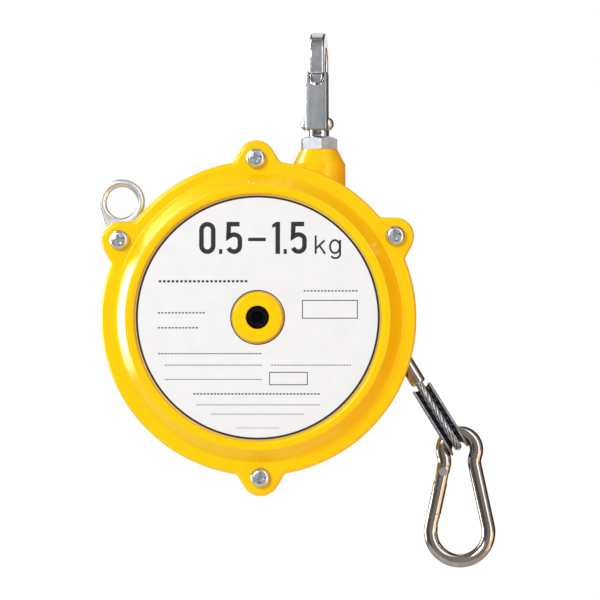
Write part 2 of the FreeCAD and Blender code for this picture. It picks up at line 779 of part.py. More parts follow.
def make_rope_eye():
    """Rope bent round the thimble, both ends in the ferrule."""
    path, begin, swing = loop_path(thimble_bend_radius - thimble_rope_drop, ferrule_front, rope_radius)
    section = Part.Face(Part.Wire(Part.makeCircle(rope_radius, begin, leg_direction(swing))))
    leg = path.makePipeShell([section.OuterWire], True, False)
    trim = rope_rod(thimble_bend_radius * 2, ferrule_front, thimble_tip)
    return mirrored(leg.common(trim))


def leg_direction(swing):
    return ROPE_DIR * math.cos(swing) + Y_AXIS * math.sin(swing)


def make_thimble():
    """Sheet channel, half round in section, bent into a teardrop with its round side to the eye."""
    start_offset = rope_radius + thimble_rope_drop
    path, begin, swing = loop_path(thimble_bend_radius, ferrule_front, start_offset)
    inward = ROPE_DIR * math.sin(swing) - Y_AXIS * math.cos(swing)
    inner_radius = thimble_channel_radius - thimble_sheet
    outer_arc = [begin + ROPE_SIDE * thimble_channel_radius, begin + inward * thimble_channel_radius,
                 begin - ROPE_SIDE * thimble_channel_radius]
    inner_arc = [begin - ROPE_SIDE * inner_radius, begin + inward * inner_radius,
                 begin + ROPE_SIDE * inner_radius]
    section = Part.Wire([
        Part.Arc(*outer_arc).toShape(),
        Part.makeLine(outer_arc[2], inner_arc[0]),
        Part.Arc(*inner_arc).toShape(),
        Part.makeLine(inner_arc[2], outer_arc[0]),
    ])
    leg = path.makePipeShell([section], True, False)
    trim = rope_rod(thimble_bend_radius * 2, thimble_start, thimble_tip + 1)
    return mirrored(leg.common(trim))


# ---------------------------------------------------------------- snap hook
def snap_half_path(side):
    """Points on the wire's centre line down one side, relative to the small end's centre."""
    big_radius = snap_width / 2 - snap_wire / 2
    drop = snap_length - snap_wire - snap_eye_radius - big_radius
    neck_x = snap_neck_half_gap + snap_neck_bend
    lean = math.acos(neck_x / (snap_eye_radius + snap_neck_bend))
    neck_z = -(snap_eye_radius + snap_neck_bend) * math.sin(lean)
    span = math.hypot(neck_x, drop + neck_z)
    heading = math.atan2(neck_x, drop + neck_z)
    tilt = math.asin((big_radius + snap_neck_bend) / span) - heading
    join = V(snap_eye_radius * math.cos(lean), 0, -snap_eye_radius * math.sin(lean))
    leave = V(neck_x - snap_neck_bend * math.cos(tilt), 0, neck_z - snap_neck_bend * math.sin(tilt))
    waist_turn = (lean - tilt) / 2
    waist = V(
        neck_x - snap_neck_bend * math.cos(waist_turn), 0, neck_z + snap_neck_bend * math.sin(waist_turn)
    )
    land = V(big_radius * math.cos(tilt), 0, -drop + big_radius * math.sin(tilt))
    points = [join, waist, leave, land]
    return [V(side * p.x, 0, p.z) for p in points], tilt, drop, big_radius


def snap_wire_path():
    right, tilt, drop, big_radius = snap_half_path(1)
    left = snap_half_path(-1)[0]
    edges = [
        Part.makeLine(left[2] + (left[3] - left[2]).normalize() * gate_pivot_drop, left[2]),
        Part.Arc(left[2], left[1], left[0]).toShape(),
        Part.Arc(left[0], V(0, 0, snap_eye_radius), right[0]).toShape(),
        Part.Arc(right[0], right[1], right[2]).toShape(),
        Part.makeLine(right[2], right[3]),
        Part.Arc(right[3], V(0, 0, -drop - big_radius), left[3]).toShape(),
        Part.makeLine(left[3], left[3] + gate_up() * gate_joint_reach()),
    ]
    return Part.Wire(edges)


def gate_up():
    left = snap_half_path(-1)[0]
    return (left[2] - left[3]).normalize()


def gate_joint_reach():
    """Length of the straight nose from the big bend up to the gate's joint."""
    left, _, drop, big_radius = snap_half_path(-1)
    joint_z = -drop - big_radius - snap_wire / 2 + gate_joint_height
    return (joint_z - left[3].z) / gate_up().z


def gate_across():
    """Direction from the gate into the hook's opening."""
    up = gate_up()
    return V(up.z, 0, -up.x)


def gate_point(down, across=0, y=0):
    """Point on the gate's axis, measured down from the upper end of its straight side."""
    start = snap_half_path(-1)[0][2]
    return start - gate_up() * down + gate_across() * across + V(0, y, 0)


def gate_rod(radius, start, end):
    return Part.makeCylinder(radius, end - start, gate_point(start), -gate_up())


def gate_block(start, end, inner, outer, half_depth):
    """Box on the gate's axis: stations along it, reach to the inside and outside, half depth in Y."""
    corners = [
        gate_point(start, inner), gate_point(end, inner), gate_point(end, -outer), gate_point(start, -outer)
    ]
    face = Part.Face(Part.makePolygon(corners + corners[:1]))
    face.translate(V(0, -half_depth, 0))
    return face.extrude(V(0, 2 * half_depth, 0))


def gate_disc(radius, half_depth):
    pivot = gate_point(gate_pivot_drop)
    return disc(radius, -half_depth, half_depth, pivot.x, pivot.z)


def make_snap_hook_body():
    """Round wire bent to a pear shape, with a tongue for the gate's rivet and a notched nose."""
    path = snap_wire_path()
    start = path.OrderedVertexes[0].Point
    section = Part.Wire(Part.makeCircle(snap_wire / 2, start, gate_up()))
    wire = path.makePipeShell([section], True, False)
    slab = Part.makeBox(2 * snap_length, gate_tongue, 2 * snap_length,
                        V(-snap_length, -gate_tongue / 2, -snap_length))
    tongue = wire.fuse(gate_disc(snap_wire / 2 - gate_gap, snap_wire)).common(slab)
    near_pivot = gate_block(-snap_wire, gate_pivot_drop + snap_wire, snap_wire, snap_wire, snap_wire)
    body = wire.cut(gate_disc(snap_wire / 2 + gate_gap, snap_wire)).fuse(tongue.common(near_pivot))
    body = body.cut(gate_disc(gate_rivet_diameter / 2, snap_wire))
    nose = gate_joint_station()
    half_slot = gate_lock_thickness / 2 + gate_slot_clearance
    slot_end = nose + gate_lock_length + gate_gap
    body = body.cut(gate_block(nose - 1, slot_end, snap_wire, snap_wire, half_slot))
    pin = nose + gate_lock_length - gate_pin_inset
    half_pin = gate_pin_diameter / 2 + gate_slot_clearance
    return body.cut(gate_block(pin - half_pin - gate_pin_relief, pin + half_pin, snap_wire, half_pin,
                               gate_pin_length / 2 + gate_slot_clearance)).removeSplitter()


def gate_joint_station():
    left = snap_half_path(-1)[0]
    return left[2].distanceToPoint(left[3]) - gate_joint_reach()


def make_snap_gate():
    """Straight gate with a fork at the rivet and a thin lock tongue at the nose."""
    nose = gate_joint_station()
    rod = gate_rod(snap_wire / 2, gate_pivot_drop, nose - gate_gap)
    crown = gate_rod(snap_wire / 2, gate_pivot_drop - snap_wire, gate_pivot_drop)
    crown = crown.common(gate_disc(snap_wire / 2, snap_wire))
    lock = gate_rod(snap_wire / 2 - gate_gap, nose - gate_gap, nose + gate_lock_length)
    lock_block = gate_block(nose - 1, nose + snap_wire * 2, snap_wire, snap_wire, gate_lock_thickness / 2)
    lock = lock.common(lock_block)
    gate = rod.fuse(crown).fuse(lock)
    fork_end = gate_pivot_drop + snap_wire / 2 + gate_fork_extra
    half_fork = gate_tongue / 2 + gate_slot_clearance
    gate = gate.cut(gate_block(-snap_wire, fork_end, snap_wire, snap_wire, half_fork))
    gate = gate.cut(gate_disc(gate_rivet_diameter / 2 + running_clearance, snap_wire))
    pin = gate_point(nose + gate_lock_length - gate_pin_inset)
    return gate.cut(disc(gate_pin_diameter / 2, -snap_wire, snap_wire, pin.x, pin.z)).removeSplitter()


def make_gate_rivet():
    half = snap_wire / 2
    rivet = gate_disc(gate_rivet_diameter / 2, half)
    for start in (-half - gate_rivet_head_height, half):
        pivot = gate_point(gate_pivot_drop)
        end = start + gate_rivet_head_height
        rivet = rivet.fuse(disc(gate_rivet_head_radius, start, end, pivot.x, pivot.z))
    return rivet.removeSplitter()


def make_gate_pin():
    pin = gate_point(gate_joint_station() + gate_lock_length - gate_pin_inset)
    return disc(gate_pin_diameter / 2, -gate_pin_length / 2, gate_pin_length / 2, pin.x, pin.z)


def make_gate_spring():
    """Short leaf in the gate's fork that presses on the body's tongue."""
    start = gate_pivot_drop + snap_wire / 2
    end = gate_pivot_drop + snap_wire / 2 + gate_fork_extra
    half = gate_tongue / 2 - gate_slot_clearance
    return gate_block(start, end, snap_wire / 4, snap_wire / 4, half)


# ---------------------------------------------------------------- top hook
def hook_plate(points, thickness):
    """Flat piece in the hook's plane from corners (y, z, rounding), centred on it."""
    wire = outline(points, lambda p: V(-thickness / 2, p.x, p.y))
    return Part.Face(wire).extrude(V(thickness, 0, 0))


def make_hook_body():
    """Forged hook with its bowl upwards, a boss for the latch, and the swivel shank."""
    bowl = hook_bowl_radius
    back = bowl + hook_back_width
    nose = bowl + hook_nose_width
    neck = neck_diameter / 2
    body = hook_plate([
        (-neck, neck_top_z, 0),
        (neck, neck_top_z, hook_corner),
        (back, latch_pivot_z + latch_boss_radius, back / 2),
        (back, hook_crown, back),
        (-nose, hook_crown, nose - hook_corner),
        (-nose, -hook_nose_drop + hook_nose_slant, hook_corner),
        (-bowl - hook_nose_width / 2, -hook_nose_drop, hook_corner),
        (-bowl, -hook_nose_drop, hook_corner),
        (-bowl, 0, bowl),
        (bowl, 0, bowl),
        (bowl, latch_pivot_z + bowl, bowl / 2),
        (neck, latch_pivot_z + latch_boss_radius, hook_corner),
        (latch_pivot_y - latch_boss_radius, latch_pivot_z + latch_boss_radius, latch_boss_radius - axial_gap),
        (latch_pivot_y - latch_boss_radius, neck_top_z, hook_corner),
    ], hook_thickness)
    sides = [f for f in body.Faces if abs(f.normalAt(0, 0).x) > 0.99]
    body = body.makeFillet(hook_edge_round, [e for f in sides for e in f.Edges])
    shank = shank_rod(lock_nut_z - shank_stub, neck_top_z)
    neck_rod = Part.makeCylinder(neck, neck_height + hook_edge_round, V(0, 0, collar_top_z))
    body = body.fuse(neck_rod).fuse(shank)
    return body.cut(latch_rod(latch_rivet_diameter / 2, hook_thickness)).removeSplitter()


def shank_rod(bottom, top):
    return Part.makeCylinder(shank_diameter / 2, top - bottom, V(0, 0, bottom))


def latch_rod(radius, half_length):
    return Part.makeCylinder(radius, 2 * half_length, V(-half_length, latch_pivot_y, latch_pivot_z), X_AXIS)


def make_hook_latch():
    """Sheet channel: web to the front, flanges on both sides of the hook."""
    web_y = latch_pivot_y - latch_boss_radius - latch_web_gap - latch_sheet
    flange_back = web_y + latch_flange_depth
    outer = hook_plate([
        (web_y, latch_web_bottom_z, latch_sheet / 2),
        (latch_pivot_y + latch_boss_radius, latch_web_bottom_z, latch_boss_radius - axial_gap),
        (latch_pivot_y + latch_boss_radius, latch_pivot_z + latch_boss_radius, 2 * latch_sheet),
        (flange_back, latch_web_top_z, 2 * latch_sheet),
        (flange_back, latch_flange_top_z, latch_sheet),
        (web_y + latch_bend_radius, latch_flange_top_z, latch_sheet),
        (web_y, latch_web_top_z, 0),
    ], latch_width)
    bends = [
        edge for edge in outer.Edges
        if edge.BoundBox.YMax < web_y + bound_slack and edge.BoundBox.XLength < bound_slack
    ]
    outer = outer.makeFillet(latch_bend_radius, bends)
    inner_width = latch_width - 2 * latch_sheet
    tall = latch_flange_top_z - latch_web_bottom_z
    inner = Part.makeBox(
        inner_width, tall, 3 * tall, V(-inner_width / 2, web_y + latch_sheet, latch_web_bottom_z - tall)
    )
    mouth = Part.makeBox(inner_width, 2 * tall, tall, V(-inner_width / 2, web_y - tall, latch_web_top_z))
    dip_radius = ((inner_width / 2) ** 2 + latch_dip ** 2) / (2 * latch_dip)
    dip_centre = V(0, web_y - tall, latch_web_top_z - latch_dip + dip_radius)
    dip = Part.makeCylinder(dip_radius, 2 * tall, dip_centre, Y_AXIS)
    flanks = Part.makeBox(
        inner_width, 2 * tall, 3 * tall, V(-inner_width / 2, web_y - tall, latch_web_bottom_z)
    )
    bore = latch_rod(latch_rivet_diameter / 2 + running_clearance, latch_width)
    return outer.cut(inner).cut(mouth).cut(dip.common(flanks)).cut(bore).removeSplitter()


def make_latch_rivet():
    half = latch_width / 2
    rivet = latch_rod(latch_rivet_diameter / 2, half)
    head = latch_rivet_head_height
    dome_radius = (latch_rivet_head_radius ** 2 + head ** 2) / (2 * head)
    for side in (-1, 1):
        centre = V(side * (half + axial_gap + head - dome_radius), latch_pivot_y, latch_pivot_z)
        dome = Part.makeSphere(dome_radius, centre)
        start = half + axial_gap if side > 0 else -half - axial_gap - latch_rivet_head_height
        keep = Part.makeCylinder(latch_rivet_head_radius, latch_rivet_head_height,
                                 V(start, latch_pivot_y, latch_pivot_z), X_AXIS)
        neck = Part.makeCylinder(latch_rivet_diameter / 2, axial_gap * 2,
                                 V(side * half - axial_gap, latch_pivot_y, latch_pivot_z), X_AXIS)
        rivet = rivet.fuse(dome.common(keep)).fuse(neck)
    return rivet.removeSplitter()


def make_latch_spring():
    """Bent leaf from the hook's boss up to the latch's web."""
    web_inner = latch_pivot_y - latch_boss_radius - latch_web_gap
    top = latch_pivot_z + latch_boss_radius
    width = hook_thickness / 2
    return hook_plate([
        (latch_pivot_y + latch_boss_radius, top, 0),
        (latch_pivot_y + latch_boss_radius, top + latch_spring_wire, 0),
        (latch_pivot_y, top + latch_spring_wire, 0.3),
        (web_inner + latch_spring_wire, top + latch_spring_rise, 0),
        (web_inner, top + latch_spring_rise, 0),
        (latch_pivot_y - latch_spring_wire, top, 0.3),
    ], width)


def make_collar_nut():
    """Hexagon collar under the hook, its upper corners turned off to a cone."""
    base = V(0, 0, turret_top_z + axial_gap)
    nut = hexagon(collar_across_flats, base, Z_AXIS, collar_height - axial_gap, collar_turn)
    top_radius = collar_across_flats / 2 - collar_chamfer
    envelope = Part.makeCone(top_radius + 2 * collar_height, top_radius, collar_height, V(0, 0, turret_top_z))
    nut = nut.common(envelope)
    return nut.cut(shank_rod(turret_bottom_z, neck_top_z))


def make_swivel_washer():
    top = turret_bottom_z - axial_gap
    seat = V(0, 0, top - swivel_washer_thickness)
    washer = Part.makeCylinder(swivel_washer_radius, swivel_washer_thickness, seat)
    return washer.cut(shank_rod(lock_nut_z, turret_top_z))


def make_lock_nut():
    nut = hexagon(lock_nut_across_flats, V(0, 0, lock_nut_z), Z_AXIS, lock_nut_height)
    return nut.cut(shank_rod(lock_nut_z - lock_nut_height, turret_bottom_z))


# ---------------------------------------------------------------- assembly
def in_case(shape):
    shape.translate(CASE_CENTRE)
    return shape


def on_snap(shape):
    """Snap hook pieces hang with the small end's centre a wire radius inside the thimble's tip."""
    contact = thimble_tip - thimble_channel_radius - snap_wire / 2
    shape.translate(on_rope(contact + snap_eye_radius) + CASE_CENTRE)
    return shape


def on_hook(shape):
    shape.rotate(V(0, 0, 0), Z_AXIS, hook_turn)
    return shape


parts = {
    "front_cover": in_case(make_front_cover()),
    "nameplate": in_case(make_nameplate()),
    "rear_housing": in_case(make_rear_housing()),
    "cover_screws": in_case(make_cover_screws()),
    "safety_eye": in_case(make_safety_eye()),
    "rope_guide_bush": in_case(make_guide_bush()),
    "pawl_pin": in_case(make_pawl_pin()),
    "front_thrust_washer": in_case(make_thrust_washer(front_hub_y)),
    "rear_thrust_washer": in_case(make_thrust_washer(rear_hub_y - washer_thickness)),
    "adjuster_shaft": in_case(make_adjuster_shaft()),
    "ratchet_wheel": in_case(make_ratchet_wheel()),
    "ratchet_pin": in_case(ratchet_pin(0)),
    "pawl": in_case(make_pawl()),
    "pawl_spring": in_case(make_pawl_spring()),
    "drum": in_case(make_drum()),
    "drum_cover": in_case(make_drum_cover()),
    "drum_cover_screws": in_case(make_drum_cover_screws()),
    "drum_front_bush": in_case(ring(bore_radius + bush_wall, bore_radius, hub_front_y, cup_floor)),
    "drum_rear_bush": in_case(ring(bore_radius + bush_wall, bore_radius, cover_seat, hub_back_y)),
    "mainspring": in_case(make_mainspring()),
    "rope_winding": in_case(make_rope_winding()),
    "rope_stop": in_case(rope_stop(0)),
    "rope_run": in_case(make_rope_run()),
    "rope_ferrule": in_case(make_ferrule()),
    "rope_eye": in_case(make_rope_eye()),
    "rope_thimble": in_case(make_thimble()),
    "snap_hook_body": on_snap(make_snap_hook_body()),
    "snap_hook_gate": on_snap(make_snap_gate()),
    "gate_rivet": on_snap(make_gate_rivet()),
    "gate_lock_pin": on_snap(make_gate_pin()),
    "gate_spring": on_snap(make_gate_spring()),
    "hook_body": on_hook(make_hook_body()),
    "hook_latch": on_hook(make_hook_latch()),
    "latch_rivet": on_hook(make_latch_rivet()),
    "latch_spring": on_hook(make_latch_spring()),
    "collar_nut": on_hook(make_collar_nut()),
    "swivel_washer": on_hook(make_swivel_washer()),
    "swivel_lock_nut": on_hook(make_lock_nut()),
}

os.makedirs("parts", exist_ok=True)
for name, shape in parts.items():
    shape.exportStep(f"parts/{name}.step")
    print(name, len(shape.Solids), shape.isValid(), round(shape.Volume, 1))
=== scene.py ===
import json
import math

import bmesh
import bpy
import numpy as np
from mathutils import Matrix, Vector


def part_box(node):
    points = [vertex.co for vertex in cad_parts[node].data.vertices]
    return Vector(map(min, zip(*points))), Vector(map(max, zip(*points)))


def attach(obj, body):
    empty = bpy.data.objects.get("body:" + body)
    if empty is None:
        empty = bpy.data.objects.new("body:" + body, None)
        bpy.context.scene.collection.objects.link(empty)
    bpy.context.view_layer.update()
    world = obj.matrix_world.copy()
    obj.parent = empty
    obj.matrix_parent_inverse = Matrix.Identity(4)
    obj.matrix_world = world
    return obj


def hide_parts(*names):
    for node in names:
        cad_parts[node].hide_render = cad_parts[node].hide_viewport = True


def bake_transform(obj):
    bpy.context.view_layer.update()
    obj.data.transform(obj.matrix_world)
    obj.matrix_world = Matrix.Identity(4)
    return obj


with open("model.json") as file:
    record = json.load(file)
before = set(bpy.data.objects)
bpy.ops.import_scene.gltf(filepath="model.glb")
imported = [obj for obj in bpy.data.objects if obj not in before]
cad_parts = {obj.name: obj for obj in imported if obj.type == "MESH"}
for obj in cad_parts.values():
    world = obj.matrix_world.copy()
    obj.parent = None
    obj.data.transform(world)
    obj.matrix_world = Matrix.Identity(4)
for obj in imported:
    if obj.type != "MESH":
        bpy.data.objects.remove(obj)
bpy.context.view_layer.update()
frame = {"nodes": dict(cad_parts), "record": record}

millimetre = 0.001
nodes = frame["nodes"]


def centreOf(node):
    low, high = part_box(node)
    return (low + high) / 2


shaftCentre = centreOf("adjuster_shaft") / millimetre
caseCentre = np.array((shaftCentre.x, 0.0, shaftCentre.z))  # drum axis, in mm


# Colour and node helpers
def linear(hexColour):
    channels = [int(hexColour[i:i + 2], 16) / 255 for i in (1, 3, 5)]
    return [c / 12.92 if c <= 0.04045 else ((c + 0.055) / 1.055) ** 2.4 for c in channels] + [1.0]


def addNode(tree, kind, inputs=None, **settings):
    node = tree.nodes.new(kind)
    for name, value in settings.items():
        setattr(node, name, value)
    for name, value in (inputs or {}).items():
        socket = node.inputs[name]
        if isinstance(value, bpy.types.NodeSocket):
            tree.links.new(value, socket)
        else:
            socket.default_value = value
    return node


def perMetre(sizeMm):
    return 1 / (sizeMm * millimetre)  # a pattern's scale from its real size


def noise(tree, sizeMm, detail=3.0, stretch=(1, 1, 1)):
    place = addNode(tree, "ShaderNodeTexCoord").outputs["Object"]
    if stretch != (1, 1, 1):
        place = addNode(tree, "ShaderNodeMapping", {"Vector": place, "Scale": stretch}).outputs["Vector"]
    grain = addNode(tree, "ShaderNodeTexNoise", {"Vector": place, "Scale": perMetre(sizeMm), "Detail": detail})
    return grain.outputs["Fac"]


def ramp(tree, fac, low, high):
    # the middle of a noise, spread between two values
    spread = addNode(tree, "ShaderNodeMapRange", {
        "Value": fac, "From Min": 0.3, "From Max": 0.7, "To Min": low, "To Max": high})
    return spread.outputs["Result"]


def mixColour(tree, fac, first, second):
    mix = addNode(tree, "ShaderNodeMix", {0: fac, 6: first, 7: second}, data_type="RGBA")
    return mix.outputs[2]


def tint(tree, fac, dark, pale):
    return mixColour(tree, ramp(tree, fac, 0.0, 1.0), linear(dark), linear(pale))


def bump(tree, height, distanceMm, strength=0.5):
    relief = addNode(tree, "ShaderNodeBump", {
        "Height": height, "Distance": distanceMm * millimetre, "Strength": strength})
    return relief.outputs["Normal"]


def newMaterial(name):
    material = bpy.data.materials.new(name)
    material.use_nodes = True
    material.node_tree.nodes.clear()
    return material, material.node_tree


def finishMaterial(material, inputs):
    tree = material.node_tree
    shader = addNode(tree, "ShaderNodeBsdfPrincipled", inputs)
    addNode(tree, "ShaderNodeOutputMaterial", {"Surface": shader.outputs["BSDF"]})
    return material


# Materials
def makeYellowEnamel():
    # stove enamel on die-cast aluminium: deep glossy yellow, warmer in the shade, with a faint orange peel
    material, tree = newMaterial("yellowStoveEnamel")
    drift = noise(tree, 18, 2)
    peel = noise(tree, 1.4, 1)
    return finishMaterial(material, {
        "Base Color": tint(tree, drift, "#ffcf00", "#ffd300"), "Specular Tint": (1.0, 0.74, 0.02, 1.0),
        "Roughness": ramp(tree, noise(tree, 9, 1), 0.28, 0.32), "IOR": 1.5,
        "Coat Weight": 0.4, "Coat Roughness": 0.07,
        "Normal": bump(tree, peel, 0.005, 0.4)})


def makeFacePlate():
    # white polyester film: even satin white with very faint grain
    material, tree = newMaterial("whitePolyesterFilm")
    return finishMaterial(material, {
        "Base Color": tint(tree, noise(tree, 6), "#e9f0f5", "#edf3f9"),
        "Roughness": ramp(tree, noise(tree, 0.8), 0.38, 0.46), "IOR": 1.5,
        "Normal": bump(tree, noise(tree, 0.5), 0.002)})


def makeScreenInk():
    # screen-printed ink: dull black, a touch uneven
    material, tree = newMaterial("blackScreenInk")
    return finishMaterial(material, {
        "Base Color": tint(tree, noise(tree, 1.2), "#111111", "#1c1c1c"),
        "Roughness": ramp(tree, noise(tree, 0.6), 0.45, 0.6)})


def makeMetal(name, dark, pale, grainMm, rough, stretch=(1, 1, 1), depth=0.004):
    material, tree = newMaterial(name)
    grain = noise(tree, grainMm, 4, stretch)
    return finishMaterial(material, {
        "Base Color": tint(tree, noise(tree, grainMm * 4, 3, stretch), dark, pale), "Metallic": 1.0,
        "Roughness": ramp(tree, grain, *rough),
        "Normal": bump(tree, grain, depth)})


def makeGuideNylon():
    # moulded nylon: dull near-black plastic
    material, tree = newMaterial("mouldedNylon")
    return finishMaterial(material, {
        "Base Color": tint(tree, noise(tree, 2), "#1d1d1f", "#262628"),
        "Roughness": ramp(tree, noise(tree, 0.5), 0.45, 0.6),
        "Normal": bump(tree, noise(tree, 0.4), 0.01)})


def makeMetals():
    # for each finish: material name, dark and pale colour, grain in mm, roughness from and to,
    # then how the grain is stretched and its depth in mm; real grain is finer, and is drawn coarse enough to show
    metals = {
        "zinc_steel": ("zincPlatedSteel", "#b4b6b8", "#cfd1d3", 0.8, (0.28, 0.42)),  # satin grey, soft blotches
        "polished_stainless": ("polishedStainlessWire", "#c2c4c6", "#dcdee0", 0.5, (0.08, 0.16)),  # hazy mirror
        "black_steel": ("blackOxideSteel", "#17181a", "#242528", 0.6, (0.3, 0.42)),  # oily black
        "hardened_steel": ("groundToolSteel", "#8c8f93", "#a6a9ad", 0.4, (0.2, 0.34), (1, 1, 6)),  # ground grey
        "cast_aluminium": ("sandCastAluminium", "#b0b2b4", "#c6c8ca", 1.2, (0.45, 0.6), (1, 1, 1), 0.02),  # matt
        "bronze": ("sinteredBronze", "#9a6f3c", "#b98a4e", 0.3, (0.35, 0.5)),  # porous brown gold
        "spring_steel": ("bluedSpringSteel", "#4d5560", "#6f7782", 0.5, (0.2, 0.3), (1, 6, 1)),  # blue-grey strip
        "wire_rope": ("galvanisedWireRope", "#85878a", "#b0b2b4", 0.25, (0.2, 0.32)),  # bright wires, dark between
        "latch_sheet": ("brushedSheetSteel", "#86898b", "#989a9c", 0.5, (0.36, 0.48), (1, 1, 0.2)),  # dull, brushed
        "eye_steel": ("barrelPolishedSteel", "#d9d4d0", "#e6e1dc", 0.7, (0.3, 0.4)),  # warm pale satin
        "screw_steel": ("brightZincScrew", "#bcbec0", "#d4d6d8", 0.6, (0.26, 0.38)),  # bright, a little soft
        "drawn_bar": ("drawnStainlessBar", "#a0988f", "#b3aba4", 0.6, (0.08, 0.17)),  # deep warm mirror bands
        "sleeve_steel": ("swagedSleeveSteel", "#a59e97", "#b8b1aa", 0.6, (0.12, 0.22)),  # warm soft mirror
        "thimble_sheet": ("pressedThimbleSheet", "#7f8286", "#989a9d", 0.5, (0.26, 0.36)),  # grey satin
    }
    return {key: makeMetal(*values) for key, values in metals.items()}


# by the part's slot, and for parts whose own finish differs from their slot's
finishes = {"yellow_enamel": makeYellowEnamel(), "face_plate": makeFacePlate(), "guide_nylon": makeGuideNylon()}
finishes.update(makeMetals())
inkFinish = makeScreenInk()
ownFinish = {"rope_ferrule": "sleeve_steel", "rope_thimble": "thimble_sheet", "hook_latch": "latch_sheet",
             "safety_eye": "eye_steel", "snap_hook_body": "drawn_bar", "snap_hook_gate": "drawn_bar"}
for part in frame["record"]["subparts"]:
    for place in nodes[part["node"]].material_slots:
        place.material = finishes[ownFinish.get(part["node"], part["material_slot"])]
print("materials done")


# Mesh helpers: points are in mm in the case's own frame (drum axis at x = z = 0) unless said otherwise
def placed(points, centre=None):
    return (np.asarray(points, float) + (caseCentre if centre is None else np.asarray(centre))) * millimetre


def makeObject(name, points, faces, body, slot, replaced=(), sharp=32.0, finish=None):
    mesh = bpy.data.meshes.new(name)
    mesh.from_pydata([tuple(point) for point in points], [], faces)
    return finishObject(name, mesh, body, slot, replaced, sharp, finish)


def closeMesh(mesh):
    soup = bmesh.new()
    soup.from_mesh(mesh)
    bmesh.ops.remove_doubles(soup, verts=soup.verts, dist=1e-7)
    bmesh.ops.dissolve_degenerate(soup, edges=soup.edges, dist=1e-8)
    bmesh.ops.recalc_face_normals(soup, faces=soup.faces)
    soup.to_mesh(mesh)
    soup.free()


def finishObject(name, mesh, body, slot, replaced=(), sharp=32.0, finish=None):
    closeMesh(mesh)
    mesh.polygons.foreach_set("use_smooth", [True] * len(mesh.polygons))
    mesh.set_sharp_from_angle(angle=math.radians(sharp))
    piece = bpy.data.objects.new(name, mesh)
    bpy.context.scene.collection.objects.link(piece)
    mesh.materials.clear()
    mesh.materials.append(finish or finishes[slot])
    for node in replaced:
        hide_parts(node)
    if body:
        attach(piece, body)
    return piece


def roundCorners(corners, steps=6, support=0.12):
    # points of a closed profile from its (radius, y, rounding) corners, with a support point beside each round
    points = []
    for i, (r, y, rounding) in enumerate(corners):
        corner = np.array((r, y), float)
        if not rounding:
            points.append(corner)
            continue
        before = np.array(corners[i - 1][:2]) - corner
        after = np.array(corners[(i + 1) % len(corners)][:2]) - corner
        lengths = np.linalg.norm(before), np.linalg.norm(after)
        before, after = before / lengths[0], after / lengths[1]
        half = math.acos(np.clip(before @ after, -1, 1)) / 2
        reach = rounding / math.tan(half)
        centre = corner + (before + after) / np.linalg.norm(before + after) * rounding / math.sin(half)
        enter, leave = corner + before * reach, corner + after * reach
        if lengths[0] > reach + 2 * support:
            points.append(enter + before * support)
        start, end = enter - centre, leave - centre
        sweep = math.pi - 2 * half
        for t in np.linspace(0, 1, steps + 1):
            points.append(centre + (math.sin((1 - t) * sweep) * start + math.sin(t * sweep) * end) / math.sin(sweep))
        if lengths[1] > reach + 2 * support:
            points.append(leave + after * support)
    return np.array(points)


def gridFaces(rows, columns, closedRows, closedColumns):
    # quads of a grid whose point (i, j) has index i * columns + j
    faces = []
    for i in range(rows if closedRows else rows - 1):
        a, b = i * columns, (i + 1) % rows * columns
        for j in range(columns if closedColumns else columns - 1):
            k = (j + 1) % columns
            faces.append((a + j, a + k, b + k, b + j))
    return faces


def circleAt(radius, y, angles):
    # ring of points round the drum axis, or round any axis along Y once moved
    return np.stack((radius * np.cos(angles), np.full(len(angles), y), radius * np.sin(angles)), 1)


def capFaces(rings, around):
    # the two ends of a grid of rings
    last = (rings - 1) * around
    return [tuple(range(around))[::-1], tuple(range(last, last + around))]


# Case castings
case = {
    "radius": 55.3, "around": 800, "edgeRound": 1.7, "edgeSteps": 8, "chamfer": 0.25,
    "lugCircle": 55.8, "lugRadius": 6.6, "lugBase": 9.8, "lugSink": 2.0, "lugRun": 0.6,
    "lugAngles": (30.8, 90.8, 150.8, 270.8),
    "flangeY": -15.0, "partingY": -11.0, "beadY": -21.0, "floorY": -19.1, "hubY": -14.0, "spigotY": -9.5,
    "slopeFoot": 50.5, "slopeTop": 46.0, "recess": 43.1, "bossRadius": 8.6, "bore": 4.05, "boreChamfer": 0.3,
    "footRound": 1.0, "beadRound": 1.2, "bossRound": 0.8, "smallRound": 0.3, "innerRound": 0.8,
    "wall": 2.5, "spigot": 51.9, "spigotWall": 1.6,
}


def smoothMin(a, b, width):
    h = np.clip(0.5 + 0.5 * (b - a) / width, 0, 1)
    return b + (a - b) * h - width * h * (1 - h)


def lugDistance(x, z, angle):
    # distance outside one screw lug: a round tip whose straight flanks run out to the rim
    s = case
    along = x * math.cos(angle) + z * math.sin(angle)
    side = np.abs(-x * math.sin(angle) + z * math.cos(angle))
    base = math.sqrt((s["radius"] - s["lugSink"]) ** 2 - s["lugBase"] ** 2)
    reach = s["lugCircle"] - base
    swing = math.pi - math.atan2(s["lugBase"], reach) - math.acos(s["lugRadius"] / math.hypot(reach, s["lugBase"]))
    flank = (along - s["lugCircle"]) * math.cos(swing) + side * math.sin(swing) - s["lugRadius"]
    tip = np.hypot(along - s["lugCircle"], side) - s["lugRadius"]
    past = (along - s["lugCircle"]) * math.sin(swing) - side * math.cos(swing)
    return np.maximum(np.where(past > 0, tip, flank), base - s["lugSink"] - along)


